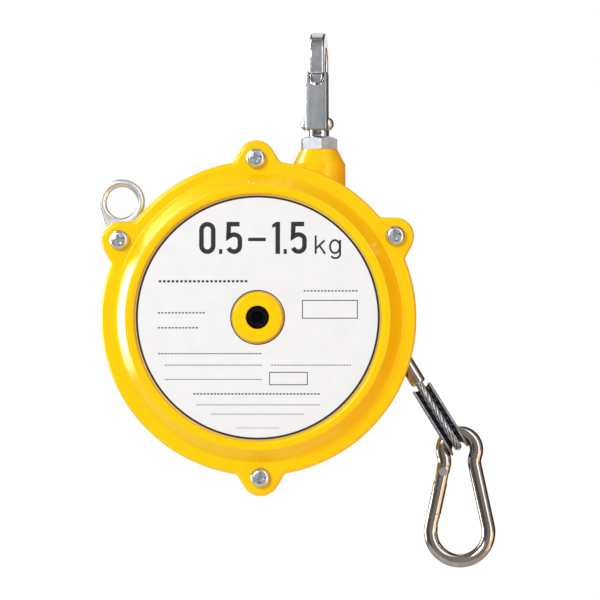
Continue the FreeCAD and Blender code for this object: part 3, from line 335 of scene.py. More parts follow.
def castingOutline(radius):
    # edge of the castings round the drum axis, with the lugs run into the rim, and its outward normal
    angles = np.linspace(0, 2 * math.pi, case["around"], endpoint=False)
    low, high = np.full(len(angles), 30.0), np.full(len(angles), 70.0)
    for _ in range(36):
        middle = (low + high) / 2
        x, z = middle * np.cos(angles), middle * np.sin(angles)
        distance = middle - radius
        for lug in case["lugAngles"]:
            distance = smoothMin(distance, lugDistance(x, z, math.radians(lug)), case["lugRun"])
        low, high = np.where(distance < 0, middle, low), np.where(distance < 0, high, middle)
    edge = np.stack((low * np.cos(angles), low * np.sin(angles)), 1)
    tangent = np.roll(edge, -1, 0) - np.roll(edge, 1, 0)
    normal = np.stack((tangent[:, 1], -tangent[:, 0]), 1)
    return angles, edge, normal / np.linalg.norm(normal, axis=1)[:, None]


def edgeRings(edge, normal, insets):
    # rings at (inset from the outline, y)
    rings = []
    for inset, y in insets:
        flat = edge - normal * inset
        rings.append(np.stack((flat[:, 0], np.full(len(flat), y), flat[:, 1]), 1))
    return rings


def makeCoverCasting():
    s = case
    angles, edge, normal = castingOutline(s["radius"])
    back = s["wall"]
    inner = roundCorners([
        (s["slopeFoot"] + 3, s["flangeY"], 0), (s["slopeFoot"], s["flangeY"], s["footRound"]),
        (s["slopeTop"], s["beadY"], s["beadRound"]), (s["recess"], s["beadY"], s["beadRound"]),
        (s["recess"], s["floorY"], s["smallRound"]), (s["bossRadius"], s["floorY"], s["smallRound"]),
        (s["bossRadius"], s["beadY"], s["bossRound"]), (s["bore"] + s["boreChamfer"], s["beadY"], 0),
        (s["bore"], s["beadY"] + s["boreChamfer"], 0), (s["bore"], s["hubY"], 0),
        (s["bossRadius"], s["hubY"], s["smallRound"]), (s["bossRadius"], s["floorY"] + back, s["innerRound"]),
        (s["slopeTop"] - 2.0, s["floorY"] + back, s["innerRound"]),
        (s["slopeFoot"] - 2.3, s["flangeY"] + back, s["innerRound"]),
        (s["spigot"] - s["spigotWall"], s["flangeY"] + back, s["smallRound"]),
        (s["spigot"] - s["spigotWall"], s["spigotY"], 0), (s["spigot"], s["spigotY"], 0),
        (s["spigot"], s["partingY"], 0),
    ])[1:]
    rings = [circleAt(r, y, angles) for r, y in inner]
    rounding = [(s["edgeRound"] * (1 - math.cos(t)), s["flangeY"] + s["edgeRound"] * (1 - math.sin(t)))
                for t in np.linspace(0, math.pi / 2, s["edgeSteps"])]
    skirt = [(s["chamfer"], s["partingY"]), (0.0, s["partingY"] - s["chamfer"]), (0.0, rounding[0][1] + 0.15)]
    skirt += rounding + [(s["edgeRound"] + 0.15, s["flangeY"])]
    rings = edgeRings(edge, normal, skirt) + rings
    faces = gridFaces(len(rings), s["around"], True, True)
    makeObject("coverCasting", placed(np.concatenate(rings)), faces, "case", "yellow_enamel", ["front_cover"])


makeCoverCasting()
print("cover done")

# Face plate print, whose two rings also stand for painted shade of the gaps beside them: ink stands 0.03 mm proud of
# the film
label = {
    # the rings at the plate's edge and round the boss are part print and part painted shade of the gaps there
    "faceY": -19.5, "ink": 0.03, "sunk": 0.01, "rings": ((41.75, 42.5), (9.15, 9.55)), "ringSteps": 240,
    # left, bottom, right, top and line width
    "boxes": ((15.6, -0.3, 34.7, 5.9, 0.28), (4.2, -23.4, 17.3, -19.1, 0.28)),
    # start, height on the plate, end, dash pitch and dash height
    "rules": ((-34.8, 12.6, -4.0, 1.5, 0.75), (-35.0, 1.6, -18.0, 1.2, 0.45), (-35.0, -3.6, -21.0, 1.2, 0.45),
              (15.8, 9.2, 34.6, 1.2, 0.45), (-34.8, -12.6, 1.8, 1.1, 0.42), (-32.4, -16.6, 1.6, 1.0, 0.32),
              (4.6, -16.6, 32.4, 1.0, 0.32), (-32.4, -21.6, 1.8, 1.0, 0.32), (-22.6, -26.6, 22.2, 1.2, 0.5),
              (-21.4, -30.4, 22.0, 0.9, 0.28), (-16.2, -33.6, 16.4, 0.9, 0.28), (-7.6, -38.4, 7.6, 0.8, 0.2)),
    "dashShare": 0.62,
}


def inkSolid(name, loops, faces2d, extra=0.0):
    # flat ink shape from outline points and faces, given its thickness
    flat = np.array(loops, float)
    count = len(flat)
    points = np.concatenate([np.stack((flat[:, 0], np.full(count, y), flat[:, 1]), 1)
                             for y in (label["faceY"] + label["sunk"], label["faceY"] - label["ink"] - extra)])
    faces = [tuple(reversed(f)) for f in faces2d] + [tuple(i + count for i in f) for f in faces2d]
    edges = {}
    for f in faces2d:
        for a, b in zip(f, f[1:] + f[:1]):
            edges[(a, b)] = True
    faces += [(a, b, b + count, a + count) for a, b in edges if (b, a) not in edges]
    return makeObject(name, placed(points), faces, "case", "face_plate", sharp=20, finish=inkFinish)


def ribbon(path, width, closed):
    # left and right edges of a line of even width with mitred corners
    path = np.array(path, float)
    before, after = np.roll(path, 1, 0), np.roll(path, -1, 0)
    if not closed:
        before[0], after[-1] = 2 * path[0] - path[1], 2 * path[-1] - path[-2]
    a, b = path - before, after - path
    a /= np.linalg.norm(a, axis=1)[:, None]
    b /= np.linalg.norm(b, axis=1)[:, None]
    normalA, normalB = np.stack((-a[:, 1], a[:, 0]), 1), np.stack((-b[:, 1], b[:, 0]), 1)
    mitre = normalA + normalB
    mitre /= np.sum(mitre * normalA, 1)[:, None]
    offset = mitre * width / 2
    loops = np.concatenate((path + offset, path - offset))
    count = len(path)
    faces = [(i, i + count, (i + 1) % count + count, (i + 1) % count) for i in range(count if closed else count - 1)]
    return loops, faces


def arc(centre, radii, start, end, steps=10):
    angles = np.radians(np.linspace(start, end, steps))
    return [(centre[0] + radii[0] * math.cos(a), centre[1] + radii[1] * math.sin(a)) for a in angles]


figures = {
    "base": 22.1, "height": 11.2, "stroke": 1.6, "half": 2.05, "dashWidth": 1.2, "pointWidth": 1.1,
    "sideBearing": 0.8, "oneStem": 1.3,
    "row": ((-20.4, "0"), (-12.9, "."), (-11.1, "5"), (-3.3, "-"), (4.9, "1"), (9.6, "."), (11.4, "5")),
    # points of the one's flag, from its stem's left edge and the figure's top
    "flag": ((0.35, 0.0), (-1.15, -1.0), (-1.15, -2.1), (0.0, -1.75)),
}


def figurePath(figure):
    # centre line of a condensed figure, and whether it closes
    s = figures
    tall, half, foot = s["height"] - s["stroke"], s["half"], -s["stroke"] / 2
    if figure == "0":
        return arc((half, tall - half), (half, half), 0, 180) + arc((half, half), (half, half), 180, 360), True
    if figure == "5":
        path = [(2 * half - 0.1, tall), (0.25, tall), (0.1, 5.15)]
        return path + arc((half, 4.2), (half, 1.75), 150, 0)[1:] + arc((half, 2.0), (half, 2.0), 0, -160), False
    return ([(0.0, foot), (0.0, 0.1 - foot)] if figure == "." else [(0.0, 4.25), (6.1, 4.25)]), False


def makeNumerals():
    s = figures
    for order, (start, figure) in enumerate(s["row"]):
        name = f"loadFigure_{order}"
        if figure == "1":
            left = start + s["sideBearing"] + s["oneStem"] - s["stroke"] / 2
            top = s["base"] + s["height"]
            outline = [(left, s["base"]), (left + s["stroke"], s["base"]), (left + s["stroke"], top)]
            outline += [(left + x, top + z) for x, z in s["flag"]]
            inkSolid(name, outline, [tuple(range(len(outline)))])
            continue
        path, closed = figurePath(figure)
        width = {"-": s["dashWidth"], ".": s["pointWidth"]}.get(figure, s["stroke"])
        aside = start + s["sideBearing"] * (figure not in ".-")
        inkSolid(name, *ribbon([(x + aside, z + s["base"] + s["stroke"] / 2) for x, z in path], width, closed))


unit = {"k": 20.2, "g": 25.2, "stroke": 0.68, "inkStep": 0.001}


def makeUnit():
    # small single-line unit letters after the figures; crossing strokes differ a little in ink height
    k, g = unit["k"], unit["g"]
    strokes = (
        ([(k, 0), (k, 6.4)], False), ([(k + 0.2, 1.9), (k + 3.1, 4.7)], False),
        ([(k + 1.3, 2.9), (k + 3.3, 0)], False),
        (arc((g + 1.7, 2.5), (1.7, 2.25), 0, 345, 26), True),
        ([(g + 3.5, 4.85), (g + 3.5, -0.1)] + arc((g + 1.85, -0.1), (1.65, 1.4), -15, -150, 12), False))
    for order, (path, closed) in enumerate(strokes):
        raised = [(x, z + figures["base"]) for x, z in path]
        inkSolid(f"unitStroke_{order}", *ribbon(raised, unit["stroke"], closed), extra=unit["inkStep"] * order)


def runNodes(name, build, inputs, host, body, slot, replaced=(), finish=None, sharp=40):
    # build a Geometry Nodes tree on a host object, set its inputs, bake it to one mesh and drop the modifier
    tree = bpy.data.node_groups.new(name + "Tree", "GeometryNodeTree")
    for way in ("INPUT", "OUTPUT"):
        tree.interface.new_socket("Geometry", in_out=way, socket_type="NodeSocketGeometry")
    sockets = {key: tree.interface.new_socket(key, in_out="INPUT", socket_type=kind)
               for key, (kind, _) in inputs.items()}
    source = tree.nodes.new("NodeGroupInput")
    whole = addNode(tree, "GeometryNodeRealizeInstances", {"Geometry": build(tree, source.outputs)})
    dressed = addNode(tree, "GeometryNodeSetMaterial", {
        "Geometry": whole.outputs[0], "Material": finish or finishes[slot]})
    target = tree.nodes.new("NodeGroupOutput")
    tree.links.new(dressed.outputs[0], target.inputs[0])
    modifier = host.modifiers.new(name, "NODES")
    modifier.node_group = tree
    for key, (_, value) in inputs.items():
        modifier[sockets[key].identifier] = value
    host.update_tag()
    mesh = bpy.data.meshes.new_from_object(host.evaluated_get(bpy.context.evaluated_depsgraph_get()))
    bpy.data.objects.remove(host)
    return finishObject(name, mesh, body, slot, replaced, sharp, finish)


def pointHost(name, points, **attributes):
    # bare points that carry a number each for every attribute
    mesh = bpy.data.meshes.new(name)
    mesh.from_pydata([tuple(point) for point in points], [], [])
    for key, values in attributes.items():
        mesh.attributes.new(key, "FLOAT", "POINT").data.foreach_set("value", values)
    host = bpy.data.objects.new(name, mesh)
    bpy.context.scene.collection.objects.link(host)
    return host


def attribute(tree, name):
    return addNode(tree, "GeometryNodeInputNamedAttribute", {"Name": name}, data_type="FLOAT").outputs[0]


def maths(tree, operation, first, second=0.0):
    return addNode(tree, "ShaderNodeMath", {0: first, 1: second}, operation=operation).outputs[0]


def scaled(tree, vector, factor):
    return addNode(tree, "ShaderNodeVectorMath", {0: vector, "Scale": factor}, operation="SCALE").outputs[0]


def makeRules():
    # ruled lines of short dashes, one dash per point
    thick = label["ink"] + label["sunk"]
    points, pitches, heights = [], [], []
    for start, z, end, pitch, height in label["rules"]:
        for x in np.arange(start + pitch / 2, end, pitch):
            points.append(placed((x, label["faceY"] + label["sunk"] - thick / 2, z)))
            pitches.append(pitch * millimetre)
            heights.append(height * millimetre)

    def build(tree, source):
        long = maths(tree, "MULTIPLY", attribute(tree, "pitch"), source["Dash share"])
        size = addNode(tree, "ShaderNodeCombineXYZ", {
            "X": long, "Y": source["Ink thickness"], "Z": attribute(tree, "height")})
        dash = addNode(tree, "GeometryNodeMeshCube", {"Size": (1, 1, 1)})
        dots = addNode(tree, "GeometryNodeMeshToPoints", {"Mesh": source["Geometry"]})
        row = addNode(tree, "GeometryNodeInstanceOnPoints", {
            "Points": dots.outputs[0], "Instance": dash.outputs[0], "Scale": size.outputs[0]})
        return row.outputs[0]

    inputs = {"Dash share": ("NodeSocketFloat", label["dashShare"]),
              "Ink thickness": ("NodeSocketFloat", thick * millimetre)}
    host = pointHost("ruleHost", points, pitch=pitches, height=heights)
    runNodes("dottedRules", build, inputs, host, "case", "face_plate", finish=inkFinish, sharp=20)


def makeLabel():
    angles = np.linspace(0, 2 * math.pi, label["ringSteps"], endpoint=False)
    circle = np.stack((np.cos(angles), np.sin(angles)), 1)
    for order, (inner, outer) in enumerate(label["rings"]):
        # black rings at the plate's edge and round the boss: part print, part painted shade of the gaps beside them
        inkSolid(f"borderRing_{order}", *ribbon(circle * (inner + outer) / 2, outer - inner, True))
    for order, (x0, z0, x1, z1, width) in enumerate(label["boxes"]):
        inkSolid(f"writeInBox_{order}", *ribbon([(x0, z0), (x1, z0), (x1, z1), (x0, z1)], width, True))
    makeNumerals()
    makeUnit()
    makeRules()


makeLabel()
print("label done")

# Cross-recessed pan heads in the four lugs
screws = {
    "headRadius": 3.5, "headHeight": 2.6, "round": 1.4, "crown": 0.35, "seatY": -15.0,
    "shank": 2.0, "length": 13.0, "tip": 0.6,
    "recess": 2.0, "halfSlot": 0.42, "slotWall": 0.13, "slotEnd": 0.5, "pit": 0.95, "pitWall": 0.2, "depth": 1.7,
    "turns": (12, 8, 15, -10), "innerRings": 28, "outerRings": 14, "around": 144,
}


def headHeight(x, z):
    # height of the pan head over its seat, with the cross cut in
    s = screws
    r = np.hypot(x, z)
    edge = np.clip((r - (s["headRadius"] - s["round"])) / s["round"], 0, 1)
    dome = s["headHeight"] - s["crown"] * (r / s["headRadius"]) ** 2
    dome -= (s["round"] + 0.2) * (1 - np.sqrt(np.clip(1 - edge ** 2, 0, 1)))
    cut = np.clip((s["pit"] - r) / s["pitWall"], 0, 1)
    for along, across in ((np.abs(x), np.abs(z)), (np.abs(z), np.abs(x))):
        width = s["halfSlot"] * (1.15 - 0.25 * along / s["recess"])
        wall = np.clip((width - across) / s["slotWall"], 0, 1)
        end = np.clip((s["recess"] - along) / s["slotEnd"], 0, 1)
        cut = np.maximum(cut, wall * end ** 0.6)
    return dome - s["depth"] * cut * np.clip(1.15 - 0.35 * r / s["recess"], 0, 1)


def makeScrewPattern():
    # one screw standing on its seat, with its axis along Z
    s = screws
    angles = np.linspace(0, 2 * math.pi, s["around"], endpoint=False)
    inner = np.linspace(0.06, s["recess"] + 0.1, s["innerRings"])
    outer = np.linspace(s["recess"] + 0.25, s["headRadius"], s["outerRings"])
    rings = []
    for r in np.concatenate((inner, outer)):
        x, z = r * np.cos(angles), r * np.sin(angles)
        rings.append(np.stack((x, z, headHeight(x, z)), 1))
    below = ((s["headRadius"], 0.0), (s["shank"], 0.0), (s["shank"], s["tip"] - s["length"]),
             (s["shank"] - s["tip"], -s["length"]), (inner[0], -s["length"]))
    for r, h in below:
        rings.append(np.stack((r * np.cos(angles), r * np.sin(angles), np.full(len(angles), h)), 1))
    mesh = bpy.data.meshes.new("screwMesh")
    faces = gridFaces(len(rings), s["around"], False, True) + capFaces(len(rings), s["around"])
    mesh.from_pydata([tuple(point) for point in np.concatenate(rings) * millimetre], [], faces)
    closeMesh(mesh)
    mesh.polygons.foreach_set("use_smooth", [True] * len(mesh.polygons))
    return bpy.data.objects.new("screwPattern", mesh)


def makeScrews():
    pattern = makeScrewPattern()
    spots = placed(circleAt(case["lugCircle"], screws["seatY"], np.radians(case["lugAngles"])))

    def build(tree, source):
        screw = addNode(tree, "GeometryNodeObjectInfo", {"Object": source["Pattern"]}, transform_space="ORIGINAL")
        dots = addNode(tree, "GeometryNodeMeshToPoints", {"Mesh": source["Geometry"]})
        row = addNode(tree, "GeometryNodeInstanceOnPoints", {
            "Points": dots.outputs[0], "Instance": screw.outputs["Geometry"], "Rotation": source["Tilt"]})
        about = addNode(tree, "ShaderNodeCombineXYZ", {"Z": attribute(tree, "turn")})
        spun = addNode(tree, "GeometryNodeRotateInstances", {
            "Instances": row.outputs[0], "Rotation": about.outputs[0]})
        return spun.outputs[0]

    inputs = {"Pattern": ("NodeSocketObject", pattern), "Tilt": ("NodeSocketVector", (math.pi / 2, 0.0, 0.0))}
    host = pointHost("screwHost", spots, turn=np.radians(screws["turns"]))
    runNodes("coverScrewSet", build, inputs, host, "case", "zinc_steel", ["cover_screws"],
             finishes["screw_steel"], 50)
    bpy.data.objects.remove(pattern)


makeScrews()
print("screws done")

# Wire rope: six strands laid right-handed
rope = {
    "angle": -58.5, "pitchRadius": 36.0, "planeY": -3.5,  # where the straight rope leaves the drum, and its slope
    "lay": 16.0, "strandRadius": 0.49, "strandCircle": 0.92, "count": 6,
    "ferruleFront": 49.2, "tip": 76.4, "bendCentre": 7.0, "eyeBend": 5.75, "legOffset": 1.2,
    "eyeSteps": 150, "strandSides": 10,
}
ropeWay = np.array((math.cos(math.radians(rope["angle"])), 0.0, math.sin(math.radians(rope["angle"]))))
ropeSide = np.array((-ropeWay[2], 0.0, ropeWay[0]))


def onRope(along, side=0.0, depth=0.0):
    # point in the case's frame from where the straight rope leaves the drum
    return ropeSide * (rope["pitchRadius"] + side) + ropeWay * along + np.array((0, rope["planeY"] + depth, 0))


def loopLine(radius, offset, start, tip):
    # (along, depth, swing) down one leg, round the tip and back up the other leg
    bend = tip - rope["bendCentre"]
    swing = math.asin((radius - offset) / (bend - rope["ferruleFront"]))
    touch = (bend - radius * math.sin(swing), radius * math.cos(swing))
    begin = (start, touch[1] - (touch[0] - start) * math.tan(swing))
    half = [(begin[0] + (touch[0] - begin[0]) * t, begin[1] + (touch[1] - begin[1]) * t, math.pi / 2 + swing)
            for t in np.linspace(0, 1, 24)[:-1]]
    half += [(bend + radius * math.cos(a), radius * math.sin(a), a) for a in np.linspace(math.pi / 2 + swing, 0, 36)]
    return half + [(along, -depth, -turn) for along, depth, turn in half[-2::-1]]


def makeRopeEye():
    # six strands wound round the eye's centre line
    line = loopLine(rope["eyeBend"], rope["legOffset"], rope["ferruleFront"] - 0.4, rope["tip"])
    curve = bpy.data.curves.new("eyeLine", "CURVE")
    curve.dimensions = "3D"
    spline = curve.splines.new("POLY")
    spline.points.add(len(line) - 1)
    for point, (along, depth, _) in zip(spline.points, line):
        point.co = (*placed(onRope(along, 0, depth)), 1)
    host = bpy.data.objects.new("eyeLine", curve)
    bpy.context.scene.collection.objects.link(host)
    across = tuple(ropeSide)

    def build(tree, source):
        even = addNode(tree, "GeometryNodeResampleCurve", {"Curve": source["Geometry"], "Count": rope["eyeSteps"]})
        tangent = addNode(tree, "GeometryNodeInputTangent").outputs[0]
        length = addNode(tree, "GeometryNodeSplineParameter").outputs["Length"]
        copies = addNode(tree, "GeometryNodeDuplicateElements", {
            "Geometry": even.outputs[0], "Amount": source["Strands"]}, domain="SPLINE")
        turns = maths(tree, "DIVIDE", length, source["Lay"])
        share = maths(tree, "DIVIDE", copies.outputs["Duplicate Index"], source["Strands"])
        angle = maths(tree, "MULTIPLY", maths(tree, "ADD", turns, share), 2 * math.pi)
        depthway = addNode(tree, "ShaderNodeVectorMath", {0: tangent, 1: across}, operation="CROSS_PRODUCT")
        sideways = scaled(tree, across, maths(tree, "COSINE", angle))
        inwards = scaled(tree, depthway.outputs[0], maths(tree, "SINE", angle))
        around = addNode(tree, "ShaderNodeVectorMath", {0: sideways, 1: inwards}, operation="ADD")
        laid = addNode(tree, "GeometryNodeSetPosition", {
            "Geometry": copies.outputs["Geometry"], "Offset": scaled(tree, around.outputs[0], source["Circle"])})
        ring = addNode(tree, "GeometryNodeCurvePrimitiveCircle", {
            "Resolution": rope["strandSides"], "Radius": source["Strand radius"]})
        strands = addNode(tree, "GeometryNodeCurveToMesh", {
            "Curve": laid.outputs[0], "Profile Curve": ring.outputs[0], "Fill Caps": True})
        return strands.outputs[0]

    inputs = {"Strands": ("NodeSocketInt", rope["count"]), "Lay": ("NodeSocketFloat", rope["lay"] * millimetre),
              "Circle": ("NodeSocketFloat", rope["strandCircle"] * millimetre),
              "Strand radius": ("NodeSocketFloat", rope["strandRadius"] * millimetre)}
    runNodes("ropeEyeStrands", build, inputs, host, "rope_end", "wire_rope", ["rope_eye"], sharp=60)


makeRopeEye()
print("rope eye done")

# Thimble, straight rope, safety eye and the end of the hook's nose
thimble = {"outer": 3.6, "inner": 2.6, "start": 50.8, "bend": 7.0, "legOffset": 2.6, "lipShare": 1.3, "apart": 0.03,
           "roundSteps": 30, "lipSteps": 8}


def makeThimble():
    # sheet channel with rolled lips, bent to a teardrop; its open side faces out
    s = thimble
    outer, inner = s["outer"], s["inner"]
    middle, lip = (outer + inner) / 2, (outer - inner) / 2
    sweep, lipSweep = np.linspace(0, math.pi, s["roundSteps"]), np.linspace(0, math.pi, s["lipSteps"])[1:-1]
    section = [(outer * math.cos(a), outer * math.sin(a)) for a in sweep]
    section += [(-middle - lip * math.cos(a), -lip * math.sin(a) * s["lipShare"]) for a in lipSweep]
    section += [(-inner * math.cos(a), inner * math.sin(a)) for a in sweep]
    section += [(middle - lip * math.cos(a), -lip * math.sin(a) * s["lipShare"]) for a in lipSweep]
    line = loopLine(s["bend"], s["legOffset"], s["start"], rope["tip"])
    points = []
    for order, (along, depth, turn) in enumerate(line):
        # the two legs stay a little apart where they meet in the middle
        leg = np.sign(len(line) // 2 - order)
        for side, inward in section:
            deep = depth - math.sin(turn) * inward
            deep = leg * max(leg * deep, s["apart"]) if leg else deep
            points.append(onRope(along - math.cos(turn) * inward, side, deep))
    faces = gridFaces(len(line), len(section), False, True) + capFaces(len(line), len(section))
    makeObject("thimbleChannel", placed(points), faces, "rope_end", "polished_stainless", ["rope_thimble"], 40,
               finishes["thimble_sheet"])


ropeRun = {"start": 10.4, "end": 37.5, "travel": 1000.0, "around": 36, "rings": 660, "samples": 4000}


def makeRopeRun():
    # six-lobed rope from the drum to the ferrule; its lay is even when the rope is fully out
    s = ropeRun
    stations = np.linspace(s["start"], s["end"], s["samples"])
    t = (stations - s["start"]) / (s["end"] - s["start"])
    out = stations + s["travel"] * t * t * (3 - 2 * t)
    even = np.linspace(out[0], out[-1], s["rings"])
    angles = np.linspace(0, 2 * math.pi, s["around"], endpoint=False)
    share = 2 * math.pi / rope["count"]
    rings = []
    for place, reach in zip(np.interp(even, out, stations), even):
        twist = 2 * math.pi * reach / rope["lay"]
        local = (angles - twist + share / 2) % share - share / 2
        lobe = rope["strandCircle"] * np.cos(local)
        lobe += np.sqrt(np.maximum(rope["strandRadius"] ** 2 - (rope["strandCircle"] * np.sin(local)) ** 2, 0))
        around = np.outer(lobe * np.cos(angles), ropeSide) + np.outer(lobe * np.sin(angles), (0, 1, 0))
        rings.append(onRope(place) + around)
    faces = gridFaces(len(rings), s["around"], False, True) + capFaces(len(rings), s["around"])
    points = placed(np.concatenate(rings))
    run = makeObject("ropeRunStrands", points, faces, None, "wire_rope", ["rope_run"], sharp=70)
    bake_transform(run)


def cutRound(mesh, centre, radius, low, high, around=48):
    # bore a round hole along Y
    angles = np.linspace(0, 2 * math.pi, around, endpoint=False)
    rings = [placed(circleAt(radius, y, angles) + np.array((centre[0], 0, centre[1]))) for y in (low, high)]
    drill = bpy.data.meshes.new("drill")
    faces = gridFaces(2, around, False, True) + capFaces(2, around)
    drill.from_pydata([tuple(point) for point in np.concatenate(rings)], [], faces)
    closeMesh(drill)
    pair = [bpy.data.objects.new(n, m) for n, m in (("blank", mesh), ("drill", drill))]
    for item in pair:
        bpy.context.scene.collection.objects.link(item)
    cut = pair[0].modifiers.new("bore", "BOOLEAN")
    cut.object, cut.operation, cut.solver = pair[1], "DIFFERENCE", "EXACT"
    result = bpy.data.meshes.new_from_object(pair[0].evaluated_get(bpy.context.evaluated_depsgraph_get()))
    for item in pair:
        bpy.data.objects.remove(item)
    return result


safetyEye = {"outer": 8.15, "hole": 5.5, "tail": 4.2, "reach": (0.1, 13.7), "front": -11.0, "back": -6.5,
             "edge": 1.15, "screwHole": 2.2, "around": 180}


def makeSafetyEye():
    # forged teardrop link with rounded edges, clamped behind the upper left lug
    s = safetyEye
    lug = math.radians(case["lugAngles"][2])
    tail = np.array((case["lugCircle"] * math.cos(lug), case["lugCircle"] * math.sin(lug)))
    centre = tail + np.array(s["reach"])
    length = float(np.hypot(*s["reach"]))
    way = (tail - centre) / length
    lean = (s["outer"] - s["tail"]) / length
    flat = math.sqrt(1 - lean ** 2)
    rings = []
    for angle in np.linspace(0, 2 * math.pi, s["around"], endpoint=False):
        ray = np.array((math.cos(angle), math.sin(angle)))
        low, high = s["hole"], 20.0
        for _ in range(30):
            r = (low + high) / 2
            q = (abs(r * (ray[0] * way[1] - ray[1] * way[0])), r * float(ray @ way))
            k = -q[0] * lean + q[1] * flat
            if k < 0:
                distance = math.hypot(*q) - s["outer"]
            elif k > flat * length:
                distance = math.hypot(q[0], q[1] - length) - s["tail"]
            else:
                distance = q[0] * flat + q[1] * lean - s["outer"]
            low, high = (r, high) if distance < 0 else (low, r)
        section = roundCorners([(s["hole"], s["back"], s["edge"]), (s["hole"], s["front"], s["edge"]),
                                (low, s["front"], s["edge"]), (low, s["back"], s["edge"])], 6, 0.0)
        rings.append([(centre[0] + r * ray[0], y, centre[1] + r * ray[1]) for r, y in section])
    faces = gridFaces(s["around"], len(rings[0]), True, True)
    mesh = bpy.data.meshes.new("eyeBlank")
    mesh.from_pydata([tuple(point) for point in placed(np.concatenate(rings))], [], faces)
    closeMesh(mesh)
    mesh = cutRound(mesh, tail, s["screwHole"], s["front"] - 1, s["back"] + 1)
    finishObject("safetyEyeLink", mesh, "case", "zinc_steel", ["safety_eye"], 40, finishes["eye_steel"])


hookNose = {"turn": -4.0, "top": -10.6, "bottom": -13.45, "front": -11.05, "back": -6.7, "half": 2.45,
            "frontTaper": 0.35, "backTaper": 1.5, "sideTaper": 0.9, "square": 0.45, "around": 40, "steps": 14}


def makeHookNose():
    # tapered end of the hook's nose, down to just above the hollow in the latch; points are from the hook's bearing
    s = hookNose
    around = np.linspace(0, 2 * math.pi, s["around"], endpoint=False)
    c, n = np.cos(around), np.sin(around)
    squared = [np.sign(v) * np.abs(v) ** s["square"] for v in (c, n)]
    rings = []
    for t in np.linspace(0, 1, s["steps"]):
        fall = math.sin(t * math.pi / 2)
        close = math.sqrt(max(1 - max(t - 0.8, 0) ** 2 / 0.041, 0))  # draws the last rings in to a blunt end
        front, back = s["front"] + s["frontTaper"] * fall ** 2, s["back"] - s["backTaper"] * fall
        x = squared[0] * (s["half"] - s["sideTaper"] * fall ** 2) * close
        y = (front + back) / 2 + squared[1] * (back - front) / 2 * close
        rings.append(np.stack((x, y, np.full(len(x), s["top"] + (s["bottom"] - s["top"]) * fall)), 1))
    turn = math.radians(s["turn"])
    x, y, z = np.concatenate(rings).T
    turned = np.stack((x * math.cos(turn) - y * math.sin(turn), x * math.sin(turn) + y * math.cos(turn), z), 1)
    faces = gridFaces(s["steps"], s["around"], False, True) + capFaces(s["steps"], s["around"])
    slot = next(part["material_slot"] for part in frame["record"]["subparts"] if part["node"] == "hook_body")
    makeObject("hookNoseEnd", placed(turned, (0, 0, 0)), faces, "top_hook", slot, sharp=50)


makeThimble()
makeRopeRun()
makeSafetyEye()
makeHookNose()
print("rope end and safety eye done")

# Camera, light and floor; the camera is a long lens, a little to the right of the case and a little below it
camera = {"aside": 14.61, "up": 6.18, "distance": 800.0, "facePlane": -15.0, "width": 209.8,
          "azimuth": 1.8, "elevation": -1.8, "sensor": 36}


def makeCamera():
    s = camera
    data = bpy.data.cameras.new("studioCamera")
    data.sensor_width = s["sensor"]
    data.lens = s["sensor"] * s["distance"] / s["width"]
    viewer = bpy.data.objects.new("studioCamera", data)
    azimuth, elevation = math.radians(s["azimuth"]), math.radians(s["elevation"])
    back = Vector((math.sin(azimuth) * math.cos(elevation), -math.cos(azimuth) * math.cos(elevation),
                   math.sin(elevation)))
    aim = Vector(caseCentre) + Vector((s["aside"], s["facePlane"], s["up"]))
    viewer.location = (aim + back * s["distance"]) * millimetre
    viewer.rotation_euler = (-back).to_track_quat("-Z", "Y").to_euler()
    bpy.context.scene.collection.objects.link(viewer)
    bpy.context.scene.camera = viewer


# name, place and size in metres, watts and colour
lights = (("keySoftbox", (-1.1, -1.7, 0.8), 1.0, 28, "#f6f9ff"), ("warmBounce", (1.5, -0.6, -0.7), 0.9, 7, "#ffb765"))


def makeLight(name, place, size, power, colour):
    data = bpy.data.lights.new(name, "AREA")
    data.shape, data.size, data.energy = "SQUARE", size, power
    data.color = linear(colour)[:3]
    lamp = bpy.data.objects.new(name, data)
    lamp.location = place
    aim = Vector(caseCentre) * millimetre - Vector(place)
    lamp.rotation_euler = aim.to_track_quat("-Z", "Y").to_euler()
    bpy.context.scene.collection.objects.link(lamp)


studioFloor = {"radius": 2.5, "height": -1.3, "around": 96}  # metres, far under the hanging balancer


def makeFloor():
    s = studioFloor
    mesh = bpy.data.meshes.new("studioFloor")
    angles = np.linspace(0, 2 * math.pi, s["around"], endpoint=False)
    ring = [(s["radius"] * math.cos(a), s["radius"] * math.sin(a), s["height"]) for a in angles]
    mesh.from_pydata(ring, [], [list(range(s["around"]))])
    ground = bpy.data.objects.new("studioFloor", mesh)
    bpy.context.scene.collection.objects.link(ground)
    # emulsion on concrete: flat, almost white
    material, tree = newMaterial("paleFloorPaint")
    finishMaterial(material, {
        "Base Color": tint(tree, noise(tree, 400), "#f4f4f4", "#fafafa"),
        "Roughness": ramp(tree, noise(tree, 30), 0.6, 0.7)})
    mesh.materials.append(material)


